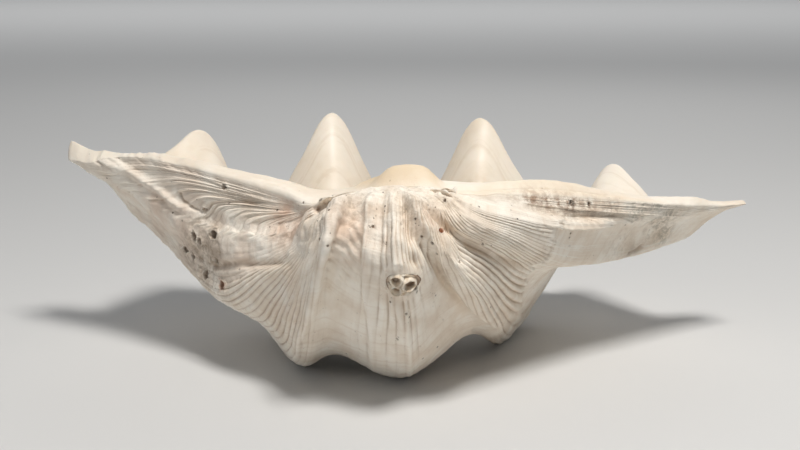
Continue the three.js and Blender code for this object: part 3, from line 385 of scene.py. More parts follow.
LUMPS = [   # centre, radius, height
    ((-171, 51, 103), 9, 1.6), ((-159, 41, 110), 8, 1.3), ((-153, 36, 97), 7, 1.8), ((-164, 48, 94), 8, 1.5), ((-146, 28, 88), 7, 1.4), ((-135, 18, 84), 8, 1.2),
    ((58, -29, 129), 4, 1.3), ((63, -36, 126), 4.5, 1.5), ((67, -44, 125), 4, 1.2), ((70, -36, 127), 3.5, 1.2), ((61, -45, 127), 3.5, 1.0),
    ((-28, -80, 134), 8, .9), ((-40, -80, 128), 7, 1.0), ((3, -80, 136), 8, 1.0), ((-110, -2, 88), 14, 1.6), ((-95, -10, 96), 12, 1.2),
]
for c, r, h in LUMPS:
    d = np.linalg.norm(O - np.array(c), axis=-1) / r; disp += h * np.exp(-d ** 2 * 1.4)
ERODED = [((-135, 20, 80), 24, 1.0), ((-128, 12, 92), 14, .8), ((108, -8, 119), 12, .5), ((180, 60, 92), 16, .6), ((-30, -70, 132), 22, .7), ((5, -75, 134), 26, .7), ((150, 40, 80), 16, .4)]
erode = np.zeros_like(disp)
for c, r, h in ERODED:
    d = np.linalg.norm(O - np.array(c), axis=-1) / r; erode = np.maximum(erode, h * np.exp(-d ** 2))
disp -= erode * 1.5 * (.35 + np.clip(fbm(O, 6.5, 3, 120), -1, 1) + .6 * np.abs(fbm(O, 11, 2, 121)))

# hollow that holds the worm tubes
TUBE_C = np.array([-1.2, -96.9, 88.8]); TUBE_Z = unit(np.array([.03, -.92, -.39]))
TUBE_X = unit(np.array([1., 0, 0]) - TUBE_Z[0] * TUBE_Z); TUBE_Y = np.cross(TUBE_Z, TUBE_X)

fade = smooth(0, .07, T2)
relO = O - TUBE_C; eO = np.sqrt((relO @ TUBE_X / 9.8) ** 2 + (relO @ TUBE_Y / 8.0) ** 2 + (relO @ TUBE_Z / 14) ** 2)
near_t = 1 - smooth(1.1, 1.9, eO)
disp = disp * (1 - near_t) + .2 * near_t
disp = np.clip(disp, -8, 7) * fade
crimp = smooth(2.0, 2.6, A2) * (1 - smooth(4.6, 5.0, A2)) + .2 * smooth(17.2, 18, A2) * (1 - smooth(20.5, 21.5, A2))
disp += smooth(.9, 1., T2) * crimp * (.8 * noise1(a * 17, 96) + .5 * noise1(a * 41, 97))[:, None]
disp -= .25 * (1 - fade)
On = O + NO * disp[..., None]
edge_move = On[:, -1] - O[:, -1]

# lip and inside
Ln = np.array([l[2] for l in LINES], float); Bn = np.array([[l[3]] for l in LINES], float)
ld = unit(per(Ln, a)); lb = per(Bn, a)
v = (np.arange(NV) + 1) / (NV + 1)
cc = (1 - np.cos(np.pi * v)) / 2
R = O[:, -1][:, None] + (I[:, 0] - O[:, -1])[:, None] * cc[None, :, None] + ld[:, None] * (lb * np.sin(np.pi * v)[None] ** .8)[..., None]
R = R + edge_move[:, None] * ((1 - v) ** 2)[None, :, None]
NI_, _ = grid_normals(I)
if np.mean(np.sum(NI_[:, 5:-5] * (I[:, 5:-5] - centre), -1)) > 0:
    NI_ = -NI_
plate = np.clip(np.maximum(1 - np.abs(((a + 12) % NL) - 12 - .2) / 3.0, 0), 0, 1)[:, None]       # near the hinge plate
U2 = np.broadcast_to(ui[None], (na, NI)); AI = np.broadcast_to(a[:, None], (na, NI))
din = .35 * fbm(I, 34, 2, 130) + .10 * fbm(I, 9, 2, 131) + .22 * np.sin(phase[:, -1:] * np.pi * .5) * np.exp(-U2 / .12) * smooth(1.5, 3, AI) * (1 - smooth(19, 21, AI))
din += .16 * noise1((U2 * 240 + 6 * noise1(AI * .9, 132)) / 7.0, 133) * np.exp(-U2 / .3)
# scar of the adductor muscle and the pallial line
SCAR = np.array([52., 70., 48.])
sd = np.sqrt(((I[..., 0] - SCAR[0]) / 34) ** 2 + ((I[..., 1] - SCAR[1]) / 27) ** 2) + .05 * fbm(I, 22, 2, 135)
scar = (1 - smooth(.93, 1.0, sd)) * (I[..., 2] < 125)
SC2 = np.array([88., 52., 60.])
sd2 = np.sqrt(((I[..., 0] - SC2[0]) / 15) ** 2 + ((I[..., 1] - SC2[1]) / 12) ** 2) + .05 * fbm(I, 18, 2, 136)
scar = np.maximum(scar, (1 - smooth(.9, 1.0, sd2)))
din -= .55 * scar - .4 * np.exp(-((sd - 1.0) / .05) ** 2)
pal = np.exp(-((U2 - .30 - .015 * noise1(AI * 1.7, 137)) / .008) ** 2) * smooth(4, 6, AI) * (1 - smooth(17, 19, AI))
din -= .45 * pal
din *= (1 - plate ** .5) * .9 + .1
In = I + NI_ * (din * smooth(0, .04, U2))[..., None]
R[..., 2] += teeth(R); In[..., 2] += teeth(I) * (1 - smooth(.06, .13, ui))[None]
# ligament groove, low lateral tooth and fine lines of the hinge plate
pa = (1 - smooth(2.0, 2.8, a)) * (a < 12) + smooth(19.8, 20.8, a) * (a > 12)
post = smooth(20.2, 20.8, a) * (1 - smooth(22.2, 22.7, a)); ante = smooth(.2, .5, a) * (1 - smooth(1.6, 2.3, a))
vw = v[None] + .02 * noise1(a * 3.1, 150)[:, None]
hz = pa[:, None] * (.40 * noise1(vw * 30 + 1.4 * noise1(a * 1.7, 151)[:, None], 152) + .45 * fbm(R, 7, 3, 153))
hz -= post[:, None] * (1.7 * np.exp(-((vw - .30) / .055) ** 2) - 1.1 * np.exp(-((vw - .47) / .06) ** 2) + 1.0 * np.exp(-((vw - .66) / .05) ** 2))
hz -= ante[:, None] * (.9 * np.exp(-((vw - .42) / .06) ** 2) - .6 * np.exp(-((vw - .58) / .06) ** 2))
R[..., 2] += hz * np.sin(np.pi * v)[None] ** .5
# uneven worn surface of the hinge plate and the lip
lipn = .35 * fbm(R, 14, 3, 140) + .12 * fbm(R, 4, 2, 141) + crimp[:, -1:] * (1.0 * noise1(a * 13, 98) + .6 * noise1(a * 37, 99))[:, None]
R = R + ld[:, None] * (lipn * np.sin(np.pi * v)[None])[..., None]

P = np.concatenate([On, R, In], 1)
m = P.shape[1]
print('grid', na, m, na * m)
def full(o, r=0., i=0.):
    o = np.broadcast_to(o, (na, NT)); r = np.broadcast_to(r, (na, NV)); i = np.broadcast_to(i, (na, NI))
    return np.concatenate([o, r, i], 1)
M_out = full(1.0, ((1 - v) ** 2)[None] * np.ones((na, 1)), 0.)
M_groove = full(np.clip(groove + .8 * cleft, 0, 1))
M_umbo = full(umbo, 0, 0)
M_left = full(left)
M_past = full(past * smooth(13, 14, A2) * (1 - smooth(20.8, 21.6, A2)))
M_erode = full(np.clip(erode, 0, 1))
M_scar = full(0., 0., scar)
M_pal = full(0., 0., np.clip(pal, 0, 1))
tth = np.concatenate([np.zeros((na, NT)), teeth(R) / 6, teeth(I) * (U2 < .2) / 6], 1)
# cream line low on the rim under the lateral tooth: partly its yellowish colour, partly painted shade of the step below
# the hinge plate
cream_and_step_shade = (smooth(19.6, 20.1, a) * (1 - smooth(22.1, 22.3, a)))[:, None] * np.exp(-((v - .14) / .13) ** 2)[None]
M_TOOTH_AND_STEP_SHADE = np.clip(tth + full(0., cream_and_step_shade * .9, 0.), 0, 1)
def spots(items, Pm):
    w = np.zeros(Pm.shape[:-1])
    for c, r, h in items:
        d = np.linalg.norm(Pm - np.array(c, float), axis=-1) / r; w = np.maximum(w, h * np.exp(-d ** 2))
    return w
# brown stains along the hinge, the crack and the margin; the last three spots darken the shaded recess under the rolled
# anterior edge: painted shade
STAIN_AND_RECESS_SHADE = [((81, -18, 126), 9, 1), ((92, -13, 124), 9, 1), ((103, -9, 121), 9, .9), ((112, -5, 119), 9, .8), ((122, 0, 118), 9, .7), ((135, 8, 116), 9, .5), ((70, -24, 128), 7, .5),
         ((-44, -50, 133), 2.6, .8), ((-48, -49, 129), 2.6, .9), ((-53, -47, 124), 2.6, .9), ((-58, -45, 120), 3, .8), ((-40, -60, 135), 7, .4), ((-66, -36, 112), 9, .6), ((-70, -32, 104), 8, .5), ((-74, -30, 106), 12, .5)]
GREEN = [((157, 23, 113), 8, .9), ((157, 16, 109), 8, .9), ((158, 22, 103), 8, .7), ((172, 30, 110), 8, .8), ((178, 46, 98), 10, .8), ((183, 60, 90), 10, .8), ((185, 76, 81), 9, .7), ((140, 6, 112), 7, .5), ((-100, -5, 110), 10, .25)]
DIRT = [((-130, 16, 80), 20, .7), ((-126, 10, 95), 12, .7), ((-133, 23, 108), 8, .6), ((-120, 6, 62), 9, .6), ((60, -36, 127), 12, .4), ((95, -22, 88), 10, .35), ((160, 55, 73), 8, .6), ((52, -46, 90), 10, .3), ((0, -78, 108), 26, .25), ((-20, -80, 128), 20, .3)]
PINK = [((-72, -21, 115), 18, 1), ((-69, -32, 108), 12, .9), ((-76, -21, 109), 14, .8), ((-171, 51, 103), 16, .6), ((-153, 36, 97), 14, .6), ((-32, -85, 120), 18, .6), ((15, -84, 128), 10, .5), ((-90, -12, 100), 16, .5), ((-96, -4, 90), 16, .4)]
masks = {
    'm_out': M_out, 'm_groove': M_groove, 'm_umbo': M_umbo, 'm_left': M_left, 'm_past': M_past, 'm_erode': M_erode, 'm_scar': M_scar, 'm_pal': M_pal, 'm_tooth_and_step_shade': M_TOOTH_AND_STEP_SHADE,
    'm_stain_and_recess_shade': spots(STAIN_AND_RECESS_SHADE, P) * full(1, .6, 0.), 'm_green': spots(GREEN, P) * full(1, .2, 0.), 'm_dirt': spots(DIRT, P) * full(1, .2, 0.), 'm_pink': spots(PINK, P) * full(1, 0, 0.),
    'm_t': full(T2, 1, 1), 'm_g': full(np.broadcast_to(arc_mean[None] / 10, (na, NT)), 40, 40 - U2 * 34), 'm_ph': full(phase, phase[:, -1:], phase[:, -1:]),
}

# ------------------------------------------------------------------ mesh of the valve
def grid_mesh(name, P, masks):
    n, m = P.shape[:2]
    V = np.concatenate([P.reshape(-1, 3), P[:, 0].mean(0)[None], P[:, -1].mean(0)[None]])
    i = np.arange(n)[:, None]; j = np.arange(m - 1)[None]
    A_, B_, C_, D_ = i * m + j, ((i + 1) % n) * m + j, ((i + 1) % n) * m + j + 1, i * m + j + 1
    quads = np.stack([A_, D_, C_, B_], -1).reshape(-1, 4)
    ii = np.arange(n); t0 = np.stack([ii * m, ((ii + 1) % n) * m, np.full(n, n * m)], -1); t1 = np.stack([((ii + 1) % n) * m + m - 1, ii * m + m - 1, np.full(n, n * m + 1)], -1)
    tris = np.concatenate([t0, t1])
    me = bpy.data.meshes.new(name)
    me.vertices.add(len(V)); me.vertices.foreach_set('co', ((V + SHIFT) / 1000).astype(np.float32).ravel())
    loops = np.concatenate([quads.ravel(), tris.ravel()]); me.loops.add(len(loops)); me.loops.foreach_set('vertex_index', loops.astype(np.int32))
    nf = len(quads) + len(tris); me.polygons.add(nf)
    starts = np.concatenate([np.arange(len(quads)) * 4, len(quads) * 4 + np.arange(len(tris)) * 3])
    me.polygons.foreach_set('loop_start', starts.astype(np.int32))
    me.update(calc_edges=True); me.validate()
    for k, w in masks.items():
        at = me.attributes.new(k, 'FLOAT', 'POINT')
        f = w.reshape(-1); f = np.concatenate([f, [w[:, 0].mean()], [w[:, -1].mean()]]); at.data.foreach_set('value', f.astype(np.float32))
    me.polygons.foreach_set('use_smooth', np.ones(len(me.polygons), bool))
    ob = bpy.data.objects.new(name, me); bpy.context.scene.collection.objects.link(ob)
    return ob

valve = grid_mesh('shell_valve_surface', P, masks)

# craters: centre, radius, depth, colour strength (dark), rust
HOLES = [((-120, 6, 62), 3.3, 3.6, 1.0, .6), ((21, -81, 118), 1.6, 2.4, .7, 1.0), ((-126, 12, 95), 3.2, 3.0, .9, 0), ((-141, 26, 91), 3.0, 2.4, .8, 0), ((-152, 40, 79), 3.0, 2.0, .7, 0),
         ((-133, 23, 110), 2.0, 1.6, .6, 0), ((-118, 14, 127), 2.0, 1.8, .9, 0), ((-144, 32, 76), 2.2, 1.8, .7, 0), ((-135, 23, 65), 3.4, 2.4, .6, 0), ((-137, 22, 89), 2.4, 2.0, .6, 0), ((-125, 12, 77), 2.2, 1.6, .5, 0),
         ((0, -91, 126), 1.0, 1.2, .6, 0), ((7, -92, 86), 1.1, 1.2, .8, 0), ((1, -85, 69), 1.0, 1.2, .9, 0), ((-18, -89, 123), 1.1, 1.2, .6, 0), ((5, -91, 127), .8, 1.0, .5, 0), ((15, -93, 112), 1.3, 1.3, .9, 0),
         ((108, -6, 120), 2.0, 1.6, .9, 0), ((33, -80, 99), 1.2, 1.2, .7, 0), ((-24, -76, 136), 1.0, 1.0, .4, 0), ((121, 0, 118), 1.6, 1.3, .8, 0), ((17, -89, 104), 1.2, 1.1, .8, 0),
         ((12, -81, 76), 1.0, 1.1, .8, 0), ((-4, -69, 48), 1.2, 1.2, .8, 0), ((-50, -81, 113), 1.1, 1.1, .6, 0), ((47, -64, 106), 1.3, 1.2, .7, 0), ((24, -69, 134), 1.2, 1.1, .8, 0), ((-3, -88, 98), 1.3, 1.2, .7, 0), ((8, -90, 83), 1.1, 1.2, .9, 0)]

def refine(ob, spots_mm):
    bm = bmesh.new(); bm.from_mesh(ob.data)
    for cuts in (1, 1):
        bm.verts.ensure_lookup_table()
        co = np.array([v.co for v in bm.verts]) if False else None
        arr = np.empty(len(bm.verts) * 3)
        me = bpy.data.meshes.new('tmp'); bm.to_mesh(me); me.vertices.foreach_get('co', arr); bpy.data.meshes.remove(me)
        arr = arr.reshape(-1, 3) * 1000 - SHIFT
        pick = np.zeros(len(arr), bool)
        for c, r in spots_mm:
            pick |= np.linalg.norm(arr - np.array(c, float), axis=1) < r
        ids = np.nonzero(pick)[0]; bm.verts.ensure_lookup_table()
        edges = set()
        for k in ids:
            for e in bm.verts[k].link_edges:
                edges.add(e)
        if not edges:
            break
        bmesh.ops.subdivide_edges(bm, edges=list(edges), cuts=1, use_grid_fill=True)
    bm.to_mesh(ob.data); bm.free(); ob.data.update()

def get(me, attr='co'):
    arr = np.empty(len(me.vertices) * 3); me.vertices.foreach_get(attr, arr); return arr.reshape(-1, 3)

refine(valve, [(c, r * 1.7 + 1.0) for c, r, *_ in HOLES] + [(tuple(TUBE_C), 12.5)])
me = valve.data
co = get(me) * 1000 - SHIFT; nr = get(me, 'normal') if hasattr(me, 'vertex_normals') is False else np.array([0])
nrm = np.empty(len(me.vertices) * 3); me.vertex_normals.foreach_get('vector', nrm); nrm = nrm.reshape(-1, 3)
outm = np.empty(len(me.vertices)); me.attributes['m_out'].data.foreach_get('value', outm)
hole = np.zeros(len(co)); rust = np.zeros(len(co)); rng = np.random.default_rng(7)
move = np.zeros(len(co))
# small pits scattered over the worn outside
base = O[:, 20:int(NT * .86)].reshape(-1, 3)
pool = rng.choice(len(base), 40, replace=False)
scatter = [(tuple(base[k]), rng.uniform(.45, .9), rng.uniform(.3, .7), rng.uniform(.1, .4), 0) for k in pool]
for c, r, dp, dk, ru in HOLES + scatter:
    c = np.array(c, float)
    d = np.linalg.norm(co - c, axis=1)
    near = (d < r * 3 + 3) & (outm > .5)
    if not near.any(): continue
    idx = np.nonzero(near)[0]; j = idx[d[idx].argmin()]; q = co[j]
    dd = np.linalg.norm(co[idx] - q, axis=1) / r * (1 + .34 * noise3(co[idx] / 1.7, 200))
    w = 1 - smooth(.5, 1.12, dd)
    move[idx] -= dp * w; move[idx] += .22 * min(r, 2.0) * np.exp(-((dd - 1.25) / .28) ** 2)
    hole[idx] = np.maximum(hole[idx], dk * (1 - smooth(.5, 1.2, dd))); rust[idx] = np.maximum(rust[idx], ru * (1 - smooth(.8, 1.5, dd)))
# hollow under the worm tubes
rel = co - TUBE_C; e = np.sqrt((rel @ TUBE_X / 9.8) ** 2 + (rel @ TUBE_Y / 8.0) ** 2); zz = rel @ TUBE_Z
inn = (np.abs(zz) < 9) & (outm > .5)
w = (1 - smooth(.93, 1.0, e)) * inn
floor_z = -5.4
co2 = co + nrm * move[:, None]
zz2 = (co2 - TUBE_C) @ TUBE_Z
co2 = co2 + (w * np.minimum(floor_z - zz2, 0))[:, None] * TUBE_Z
rimw = np.exp(-((e - 1.10) / .09) ** 2) * inn
co2 += (rimw * .1)[:, None] * TUBE_Z
# painted shade: the floor of the hollow under the tube crust gets the dark pit colour
hole = np.maximum(hole, .5 * (1 - smooth(.78, .92, e)) * inn)
# worn flats where it rests
low = co2[:, 2] < REST_Z
co2[:, 2] = np.where(low, REST_Z + .02 * (noise3(co2 / 3.0, 300) * .5 + .5), co2[:, 2])
flat = np.clip(1 - (co2[:, 2] - REST_Z) / 1.2, 0, 1)
me.vertices.foreach_set('co', ((co2 + SHIFT) / 1000).astype(np.float32).ravel())
for k, w_ in (('m_hole', hole), ('m_rust', rust), ('m_flat', flat)):
    at = me.attributes.new(k, 'FLOAT', 'POINT'); at.data.foreach_set('value', w_.astype(np.float32))
me.polygons.foreach_set('use_smooth', np.ones(len(me.polygons), bool))
me.update()
print('valve', len(me.vertices), len(me.polygons))

# ------------------------------------------------------------------ worm tubes
TUBES = [(-3.7, 3.6, 4.2, 2.9, 2.7), (-3.9, -3.9, 4.0, 2.8, 2.3), (4.1, .3, 4.5, 3.1, 3.1)]
So = O[(eO < 1.45)] + NO[(eO < 1.45)] * disp[(eO < 1.45)][:, None]; So = So - TUBE_C
fit = np.linalg.lstsq(np.stack([np.ones(len(So)), So @ TUBE_X, So @ TUBE_Y, (So @ TUBE_X) ** 2, (So @ TUBE_Y) ** 2], -1), So @ TUBE_Z, rcond=None)[0]
def around(X, Y):                  # height of the shell's surface over the hollow
    return fit[0] + fit[1] * X + fit[2] * Y + fit[3] * X * X + fit[4] * Y * Y
def tube_cluster():
    """one crust: a height field over an ellipse, sunk into open tubes, closed below"""
    nx = 132
    nr_ = 60
    th = np.linspace(0, 2 * np.pi, nx, endpoint=False); rr = (np.arange(1, nr_ + 1) / nr_)
    lobe = 1 + .035 * np.sin(3 * th + 1)[:, None] + .03 * np.sin(5 * th + .3)[:, None] + .015 * np.sin(11 * th)[:, None]
    X = 10.4 * lobe * rr[None] * np.cos(th)[:, None]; Y = 8.6 * lobe * rr[None] * np.sin(th)[:, None]
    def height(X, Y):
        Pn = np.stack([X, Y, np.zeros_like(X)], -1)
        h = -3.0 + .35 * fbm(Pn, 3.0, 3, 400)
        for k, (u, w_, r, b, top) in enumerate(TUBES):
            ang = np.arctan2(Y - w_, X - u); ro = r * (1 + .05 * np.sin(3 * ang + k) + .03 * np.sin(7 * ang + 2 * k))
            d = np.hypot(X - u, Y - w_)
            mid = (b + ro) / 2; half = (ro - b) / 2
            x = np.clip(np.abs(d - mid) / (half + .25), 0, 1)
            wall = around(X, Y) + (top - .6) + .22 * np.sin(2 * ang + 1.7 * k) + .18 * noise3(Pn / 1.1, 410 + k)
            tube = np.where(d > mid, wall - 5.0 * np.clip((d - mid) / (half + 1.1), 0, 1) ** 1.6, wall - (wall + 5.1) * smooth(.10, .62, (mid - d) / mid) ** .7)
            inside = d < mid
            h = np.where(inside, tube, np.maximum(h, tube))
        return h
    H = height(X, Y)
    # outermost ring stays under the rim of the hollow
    H = np.maximum(H, around(X, Y) + (-2.2 + 2.75 * smooth(.55, .84, rr))[None] + .4 * noise3(np.stack([X, Y, X * 0], -1) / 1.3, 420)) - (1.1 * smooth(.88, 1., rr))[None]
    top = TUBE_C + X[..., None] * TUBE_X + Y[..., None] * TUBE_Y + H[..., None] * TUBE_Z
    c0 = TUBE_C + height(np.zeros((1, 1)), np.zeros((1, 1)))[0, 0] * TUBE_Z
    zb = -5.3
    bottom = TUBE_C + (X[:, -1] * .88)[:, None] * TUBE_X + (Y[:, -1] * .88)[:, None] * TUBE_Y + zb * TUBE_Z
    V = [c0]; V = np.concatenate([np.array([c0]), top.transpose(1, 0, 2).reshape(-1, 3), bottom, np.array([TUBE_C + zb * TUBE_Z])])
    F = []
    for i in range(nx):
        k = (i + 1) % nx
        F.append((0, 1 + i, 1 + k))
        for j in range(nr_ - 1):
            F.append((1 + j * nx + i, 1 + (j + 1) * nx + i, 1 + (j + 1) * nx + k, 1 + j * nx + k))
        lo = 1 + nr_ * nx
        F.append((1 + (nr_ - 1) * nx + i, lo + i, lo + k, 1 + (nr_ - 1) * nx + k))
        F.append((lo + i, lo + nx, lo + k))
    me = bpy.data.meshes.new('worm_tubes'); me.from_pydata(((V + SHIFT) / 1000).tolist(), [], F); me.update()
    Hf = np.concatenate([[H[0, 0]], H.T.ravel(), np.full(nx, zb), [zb]])
    at = me.attributes.new('m_h', 'FLOAT', 'POINT'); at.data.foreach_set('value', Hf.astype(np.float32))
    me.polygons.foreach_set('use_smooth', np.ones(len(me.polygons), bool))
    ob = bpy.data.objects.new('worm_tubes', me); bpy.context.scene.collection.objects.link(ob)
    return ob
tubes = tube_cluster()

# ------------------------------------------------------------------ materials
def lin(r, g, b):
    return tuple([(x / 12.92 if x <= .04045 else ((x + .055) / 1.055) ** 2.4) for x in (r / 255, g / 255, b / 255)] + [1])

class Net:
    def __init__(self, name):
        self.mat = bpy.data.materials.new(name); self.mat.use_nodes = True; self.t = self.mat.node_tree; self.t.nodes.clear()
        self.out = self.n('ShaderNodeOutputMaterial'); self.bsdf = self.n('ShaderNodeBsdfPrincipled'); self.l(self.bsdf.outputs[0], self.out.inputs[0])
        tc = self.n('ShaderNodeTexCoord'); self.obj = tc.outputs['Object']
    def n(self, kind, **kw):
        nd = self.t.nodes.new(kind)
        for k, v_ in kw.items(): setattr(nd, k, v_)
        return nd
    def l(self, a_, b_): self.t.links.new(a_, b_)
    def put(self, sock, v_):
        if hasattr(v_, 'is_output') or isinstance(v_, bpy.types.NodeSocket): self.l(v_, sock)
        else: sock.default_value = v_
    def attr(self, name):
        return self.n('ShaderNodeAttribute', attribute_name=name).outputs['Fac']
    def math(self, op, a_, b_=0., c_=0., clamp=False):
        nd = self.n('ShaderNodeMath', operation=op, use_clamp=clamp); self.put(nd.inputs[0], a_); self.put(nd.inputs[1], b_); self.put(nd.inputs[2], c_); return nd.outputs[0]
    def noise(self, scale, detail=4, rough=.55, vec=None, dist=0.):
        nd = self.n('ShaderNodeTexNoise'); self.put(nd.inputs['Vector'], vec or self.obj); nd.inputs['Scale'].default_value = scale; nd.inputs['Detail'].default_value = detail
        nd.inputs['Roughness'].default_value = rough; nd.inputs['Distortion'].default_value = dist; return nd.outputs['Fac']
    def voro(self, scale, vec=None, feature='F1', rand=1.):
        nd = self.n('ShaderNodeTexVoronoi', feature=feature); self.put(nd.inputs['Vector'], vec or self.obj); nd.inputs['Scale'].default_value = scale; nd.inputs['Randomness'].default_value = rand; return nd.outputs['Distance']
    def ramp(self, fac, lo, hi, out_lo=0., out_hi=1.):
        nd = self.n('ShaderNodeMapRange', interpolation_type='SMOOTHSTEP', clamp=True); self.put(nd.inputs['Value'], fac)
        nd.inputs['From Min'].default_value = lo; nd.inputs['From Max'].default_value = hi; nd.inputs['To Min'].default_value = out_lo; nd.inputs['To Max'].default_value = out_hi; return nd.outputs['Result']
    def mix(self, fac, a_, b_):
        nd = self.n('ShaderNodeMix', data_type='RGBA'); self.put(nd.inputs[0], fac); self.put(nd.inputs[6], a_); self.put(nd.inputs[7], b_); return nd.outputs[2]
    def mul(self, a_, b_): return self.math('MULTIPLY', a_, b_)
    def add(self, a_, b_): return self.math('ADD', a_, b_)
    def comb(self, x, y, z):
        nd = self.n('ShaderNodeCombineXYZ'); self.put(nd.inputs[0], x); self.put(nd.inputs[1], y); self.put(nd.inputs[2], z); return nd.outputs[0]
    def bump(self, h, strength, dist, normal=None):
        nd = self.n('ShaderNodeBump'); nd.inputs['Strength'].default_value = strength; nd.inputs['Distance'].default_value = dist; self.put(nd.inputs['Height'], h)
        if normal is not None: self.l(normal, nd.inputs['Normal'])
        return nd.outputs[0]

def shell_material():
    s = Net('aged_shell')
    A_ = {k: s.attr(k) for k in ('m_out', 'm_groove', 'm_umbo', 'm_left', 'm_past', 'm_erode', 'm_scar', 'm_pal', 'm_tooth_and_step_shade', 'm_stain_and_recess_shade', 'm_green', 'm_dirt', 'm_pink', 'm_t', 'm_g', 'm_ph', 'm_hole', 'm_rust', 'm_flat')}
    n_big = s.noise(14, 4, .6); n_mid = s.noise(55, 5, .6); n_fine = s.noise(260, 5, .65); n_grain = s.noise(1100, 3, .7)
    # ---- chalky outside
    c = s.mix(s.ramp(n_big, .36, .66), lin(248, 240, 227), lin(238, 225, 208))
    c = s.mix(s.mul(s.ramp(n_mid, .45, .72), .42), c, lin(222, 203, 182))
    c = s.mix(s.mul(s.ramp(n_mid, .30, .50, 1, 0), .5), c, lin(252, 247, 237))
    # growth bands across, faint streaks along
    band = s.noise(1.0, 4, .6, s.comb(s.mul(A_['m_g'], 3.1), s.mul(n_big, 2.5), 0.)); streak = s.noise(1.0, 3, .6, s.comb(s.mul(A_['m_ph'], 1.6), s.mul(n_big, 3.), s.mul(A_['m_g'], .12)))
    c = s.mix(s.mul(s.ramp(band, .50, .66), .24), c, lin(214, 194, 170))
    c = s.mix(s.mul(s.ramp(streak, .52, .7), .22), c, lin(222, 205, 183))
    c = s.mix(s.mul(s.mul(s.ramp(streak, .3, .48, 1, 0), A_['m_past']), .6), c, lin(250, 246, 236))
    pk = s.mul(A_['m_pink'], s.ramp(n_mid, .25, .6)); c = s.mix(s.mul(pk, .75), c, lin(219, 184, 160))
    c = s.mix(s.mul(s.mul(A_['m_left'], s.ramp(n_big, .42, .62)), .45), c, lin(228, 211, 196))
    # darker in the grooves between riblets and along the carved grooves
    gr = s.mul(A_['m_groove'], s.ramp(n_mid, .25, .65, .35, 1)); c = s.mix(s.mul(gr, .46), c, lin(188, 162, 135))
    # paler on sharp crests and darker in hollows, by pointiness
    geo = s.n('ShaderNodeNewGeometry'); crest = s.ramp(geo.outputs['Pointiness'], .505, .56); cav = s.ramp(geo.outputs['Pointiness'], .44, .495, 1, 0)
    c = s.mix(s.mul(crest, .5), c, lin(251, 245, 233)); c = s.mix(s.mul(cav, .55), c, lin(170, 143, 116))
    # fine dark specks, more of them on the old shell near the beak
    v1 = s.voro(330); sp = s.ramp(v1, .10, .20, 1, 0); keep = s.ramp(s.noise(120, 2, .5), .56, .64)
    sp = s.mul(s.mul(sp, keep), s.add(.35, s.mul(A_['m_umbo'], .65))); c = s.mix(s.mul(sp, .8), c, lin(96, 74, 56))
    v2 = s.voro(120); sp2 = s.mul(s.mul(s.ramp(v2, .06, .13, 1, 0), s.ramp(s.noise(60, 2, .5), .55, .62)), .9); c = s.mix(sp2, c, lin(104, 82, 62))
    # worn and dirty places, and painted shade in the recess under the rolled anterior edge
    d1 = s.mul(A_['m_dirt'], s.ramp(n_mid, .40, .62)); c = s.mix(s.mul(d1, .75), c, lin(150, 128, 106))
    e1 = s.mul(A_['m_erode'], s.ramp(n_fine, .45, .62)); c = s.mix(s.mul(e1, .55), c, lin(158, 140, 118))
    g1 = s.mul(A_['m_green'], s.ramp(n_fine, .40, .60)); c = s.mix(s.mul(g1, .8), c, lin(118, 112, 92))
    # brown stains, and painted shade darkening the recess under the rolled anterior edge
    stain_and_recess_shade = s.mul(A_['m_stain_and_recess_shade'], s.ramp(n_fine, .36, .62)); c = s.mix(s.mul(stain_and_recess_shade, .85), c, lin(138, 98, 62))
    # ---- ivory inside
    ci = s.mix(s.ramp(n_big, .35, .65), lin(237, 228, 214), lin(224, 211, 192)); ci = s.mix(s.mul(s.ramp(n_mid, .5, .75), .3), ci, lin(241, 234, 222))
    iband = s.noise(1.0, 4, .6, s.comb(s.mul(A_['m_g'], 1.0), s.mul(n_big, 3.), s.mul(n_mid, .4)))
    ci = s.mix(s.mul(s.ramp(iband, .52, .68), .30), ci, lin(203, 184, 158))
    ci = s.mix(s.mul(A_['m_scar'], .42), ci, lin(206, 186, 158)); ci = s.mix(s.mul(A_['m_pal'], .7), ci, lin(190, 166, 136))
    # cream of the teeth, and the painted shade line of the step under the lateral tooth
    ci = s.mix(s.mul(A_['m_tooth_and_step_shade'], .85), ci, lin(212, 185, 141))
    # stains on the lip, with the painted recess shade where it reaches the lip
    lip_stain_and_recess_shade = s.mul(A_['m_stain_and_recess_shade'], s.ramp(n_fine, .42, .66)); ci = s.mix(s.mul(lip_stain_and_recess_shade, .8), ci, lin(168, 124, 78))
    c = s.mix(A_['m_out'], ci, c)
    c = s.mix(s.mul(A_['m_flat'], .35), c, lin(205, 188, 164))
    # holes last
    c = s.mix(s.mul(A_['m_hole'], .85), c, lin(92, 72, 54)); c = s.mix(s.mul(A_['m_rust'], .85), c, lin(170, 104, 62))
    s.put(s.bsdf.inputs['Base Color'], c)
    # ---- gloss
    r_out = s.ramp(n_fine, .3, .7, .80, .96); r_in = s.ramp(n_mid, .3, .7, .44, .62); r_in = s.math('SUBTRACT', r_in, s.mul(A_['m_scar'], .08))
    mx = s.n('ShaderNodeMix', data_type='FLOAT'); s.put(mx.inputs[0], A_['m_out']); s.put(mx.inputs[2], r_in); s.put(mx.inputs[3], r_out); s.put(s.bsdf.inputs['Roughness'], mx.outputs[0])
    s.bsdf.inputs['IOR'].default_value = 1.52
    mw = s.n('ShaderNodeMix', data_type='FLOAT'); s.put(mw.inputs[0], A_['m_out']); mw.inputs[2].default_value = .10; mw.inputs[3].default_value = 0.
    s.bsdf.inputs['Subsurface Radius'].default_value = (1.0, .62, .38); s.bsdf.inputs['Subsurface Scale'].default_value = .006
    s.put(s.bsdf.inputs['Subsurface Weight'], mw.outputs[0])
